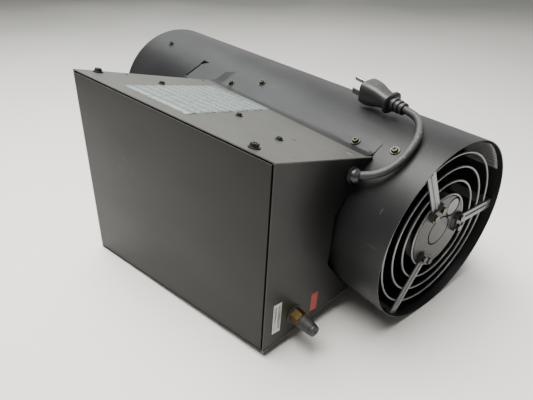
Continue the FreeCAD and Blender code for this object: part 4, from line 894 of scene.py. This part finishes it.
panelMarks = {
    # distance from the fan end, drop below the axis, length, width, finish
    # the two front slots: black plates, painted shade of the holes
    "front_slot_a": (0.3400, 0.1950, 0.0070, 0.0022, "paintedShadeBlack"),
    "front_slot_b": (0.3410, 0.0890, 0.0070, 0.0022, "paintedShadeBlack"),
    "flat_slot": (0.1108, 0.1270, 0.0070, 0.0026, "screwBlack"),
    "oval_boss": (0.0707, 0.1659, 0.0130, 0.0078, "panelPaint"),
    "light_slot": (0.0704, 0.0900, 0.0085, 0.0036, "lipPaint"),
}


# the slots and the boss of the upper side panel; the two front slots are black plates, painted shade of the
# holes
def makePanelMarks():
    for name, (distance, drop, length, width, finish) in panelMarks.items():
        place, out = panelPoint(fanEnd - distance, drop, -1)
        plate = ovalPlate(place, out, (1.0, 0.0, 0.0), length, width, 0.0005)
        piece = weld(joined("mark_" + name, [plate]))
        finished(piece, finish)


makeLabels()
makeIntakeFilm()
makePanelMarks()
print("labels")

plug = {"roll": 6.0, "ledge": 0.0009, "sections": [
    # along, half width, half height, squareness, shift up
    (0.0000, 0.0046, 0.0046, 2.0, 0.0), (0.0004, 0.0064, 0.0062, 2.2, 0.0),
    (0.0030, 0.0066, 0.0064, 2.2, 0.0), (0.0034, 0.0052, 0.0050, 2.2, 0.0),
    (0.0056, 0.0052, 0.0050, 2.2, 0.0), (0.0060, 0.0069, 0.0067, 2.2, 0.0),
    (0.0086, 0.0071, 0.0069, 2.2, 0.0), (0.0090, 0.0055, 0.0053, 2.2, 0.0),
    (0.0112, 0.0056, 0.0054, 2.2, 0.0), (0.0116, 0.0074, 0.0072, 2.2, 0.0),
    (0.0142, 0.0076, 0.0074, 2.2, 0.0), (0.0146, 0.0060, 0.0058, 2.4, 0.0),
    (0.0166, 0.0062, 0.0060, 2.6, 0.0), (0.0170, 0.0112, 0.0094, 3.2, 0.0),
    (0.0176, 0.0120, 0.0100, 3.4, 0.0), (0.0206, 0.0121, 0.0102, 3.4, 0.0),
    (0.0214, 0.0112, 0.0092, 3.2, 0.0), (0.0220, 0.0094, 0.0080, 3.0, 0.0),
    (0.0270, 0.0092, 0.0086, 3.0, 0.0003), (0.0330, 0.0100, 0.0100, 3.2, 0.0005),
    (0.0390, 0.0114, 0.0116, 3.4, 0.0004), (0.0450, 0.0124, 0.0126, 3.6, 0.0002),
    (0.0500, 0.0128, 0.0129, 3.8, 0.0), (0.0542, 0.0128, 0.0129, 3.8, 0.0),
    (0.0556, 0.0124, 0.0125, 3.8, 0.0), (0.0560, 0.0114, 0.0115, 3.6, 0.0),
    (0.0560, 0.0, 0.0, 3.0, 0.0)]}


# rounded-square sections carried along the plug's axis: |y/w|^n + |z/h|^n = 1, each at its own distance
def makePlugBody():
    end, back = (np.array(point) / 1000 for point in (lead["route"][-1], lead["route"][-2]))
    axis = (end - back) / np.linalg.norm(end - back)
    up = np.array([0.0, 0.0, 1.0])
    side = np.cross(up, axis)
    side /= np.linalg.norm(side)
    up = np.cross(axis, side)
    roll = math.radians(plug["roll"])
    side, up = side * math.cos(roll) - up * math.sin(roll), up * math.cos(roll) + side * math.sin(roll)
    along, wide, high, square, shift = (np.array(column)[:, None] for column in zip(*plug["sections"]))
    angle = np.linspace(0, 2 * math.pi, 64, endpoint=False)[None]
    y = wide * np.sign(np.cos(angle)) * abs(np.cos(angle)) ** (2 / square)
    z = high * np.sign(np.sin(angle)) * abs(np.sin(angle)) ** (2 / square) + shift
    inLedge = (wide > 0) & (z < -0.0005) & (z > -0.0085) & (abs(y) > wide * 0.8)
    y = y + np.sign(y) * inLedge * plug["ledge"] * np.clip((along - 0.030) / 0.006, 0, 1)
    points = end + along[..., None] * axis + y[..., None] * side + z[..., None] * up
    body = weld(meshFrom("plug_moulding", points.reshape(-1, 3), gridFaces(*y.shape, wrapColumns=True)))
    finished(creased(body, 50), "blackMoulding", replaced=("plug_body",))


bushing = {"place": (-0.0724, -0.0963), "axis": (0.97, 0.22, 0.10), "profile": [
    (-0.0055, 0.0), (-0.0055, 0.0062), (0.0, 0.0062), (0.0, 0.0080), (0.0006, 0.0085), (0.0022, 0.0086),
    (0.0027, 0.0080), (0.0030, 0.0064), (0.0042, 0.0062), (0.0046, 0.0072), (0.0062, 0.0072),
    (0.0068, 0.0066), (0.0088, 0.0056), (0.0100, 0.0048), (0.0100, 0.0)]}


# collars and a short tapered nose turned about the direction in which the lead leaves
def makeBushing():
    place = laid(rearFace - plateRecess, *bushing["place"])
    body = weld(joined("lead_strain_relief", [turnedGrid(bushing["profile"], place, bushing["axis"], 40)]))
    finished(creased(body, 45), "bushingMoulding", replaced=("cord_bushing",))


cap = {"radius": 0.0078, "endRadius": 0.0056}


# a tapered cap: a profile with a soft shoulder, a shallow dish and a small hole, turned about the inlet
def makeCap():
    low, high = (np.array(corner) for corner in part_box("inlet_cap"))
    middle = (low + high) / 2
    start, length = low[0], high[0] - low[0]
    big, small = cap["radius"], cap["endRadius"]
    outside = [(0.0, big * 0.86), (0.0, big * 0.97), (0.0006, big), (0.0016, big * 1.01),
               (0.0022, big * 0.975), (0.0075, big * 0.985), (0.0090, big * 0.96), (0.0120, big * 0.89),
               (0.0160, big * 0.80), (length - 0.0011, small * 1.10), (length - 0.0004, small * 1.03),
               (length, small * 0.90), (length, small * 0.40), (length - 0.0003, small * 0.34),
               (length - 0.0003, small * 0.18), (length - 0.0022, small * 0.16), (length - 0.0022, 0.0)]
    inside = [(length - 0.0040, 0.0), (length - 0.0040, big * 0.86)]
    profile = outside + inside + [outside[0]]
    origin = np.array([start, middle[1], middle[2]])
    body = weld(joined("inlet_cap_rubber", [turnedGrid(profile, origin, (1.0, 0.0, 0.0), 48)]))
    finished(creased(body, 40), "blackRubber", body="cap", replaced=("inlet_cap",))


bossRing = {"radius": 0.0171, "halfWidth": 0.0010, "halfHeight": 0.0006, "sink": 0.0004, "gap": 0.12,
            "turn": 0.5}


# four black arcs in the mounting disc, painted shade in its ring groove: a thin round bar bent round the
# axis
def makeBossRing():
    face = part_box("motor_mount_disc")[1][0]
    arcs = []
    for quarter in range(4):
        run = np.linspace(bossRing["gap"], math.pi / 2 - bossRing["gap"], 14)
        run = run + quarter * math.pi / 2 + bossRing["turn"]
        around = np.linspace(0, 2 * math.pi, 8, endpoint=False)
        a, b = np.meshgrid(run, around, indexing="ij")
        ends = np.where((a == run[0]) | (a == run[-1]), 0.0, 1.0)
        radius = bossRing["radius"] + bossRing["halfWidth"] * np.cos(b) * ends
        x = face - bossRing["sink"] + bossRing["halfHeight"] * np.sin(b) * ends
        points = tubePoint(x, np.degrees(a), radius).reshape(-1, 3)
        arcs.append((points, gridFaces(*a.shape, wrapColumns=True)))
    finished(weld(joined("disc_groove_shade", arcs)), "paintedShadeBlack")


makePlugBody()
makeLead()
makeBushing()
makeCap()
makeBossRing()
print("power lead, plug, bushing, cap")
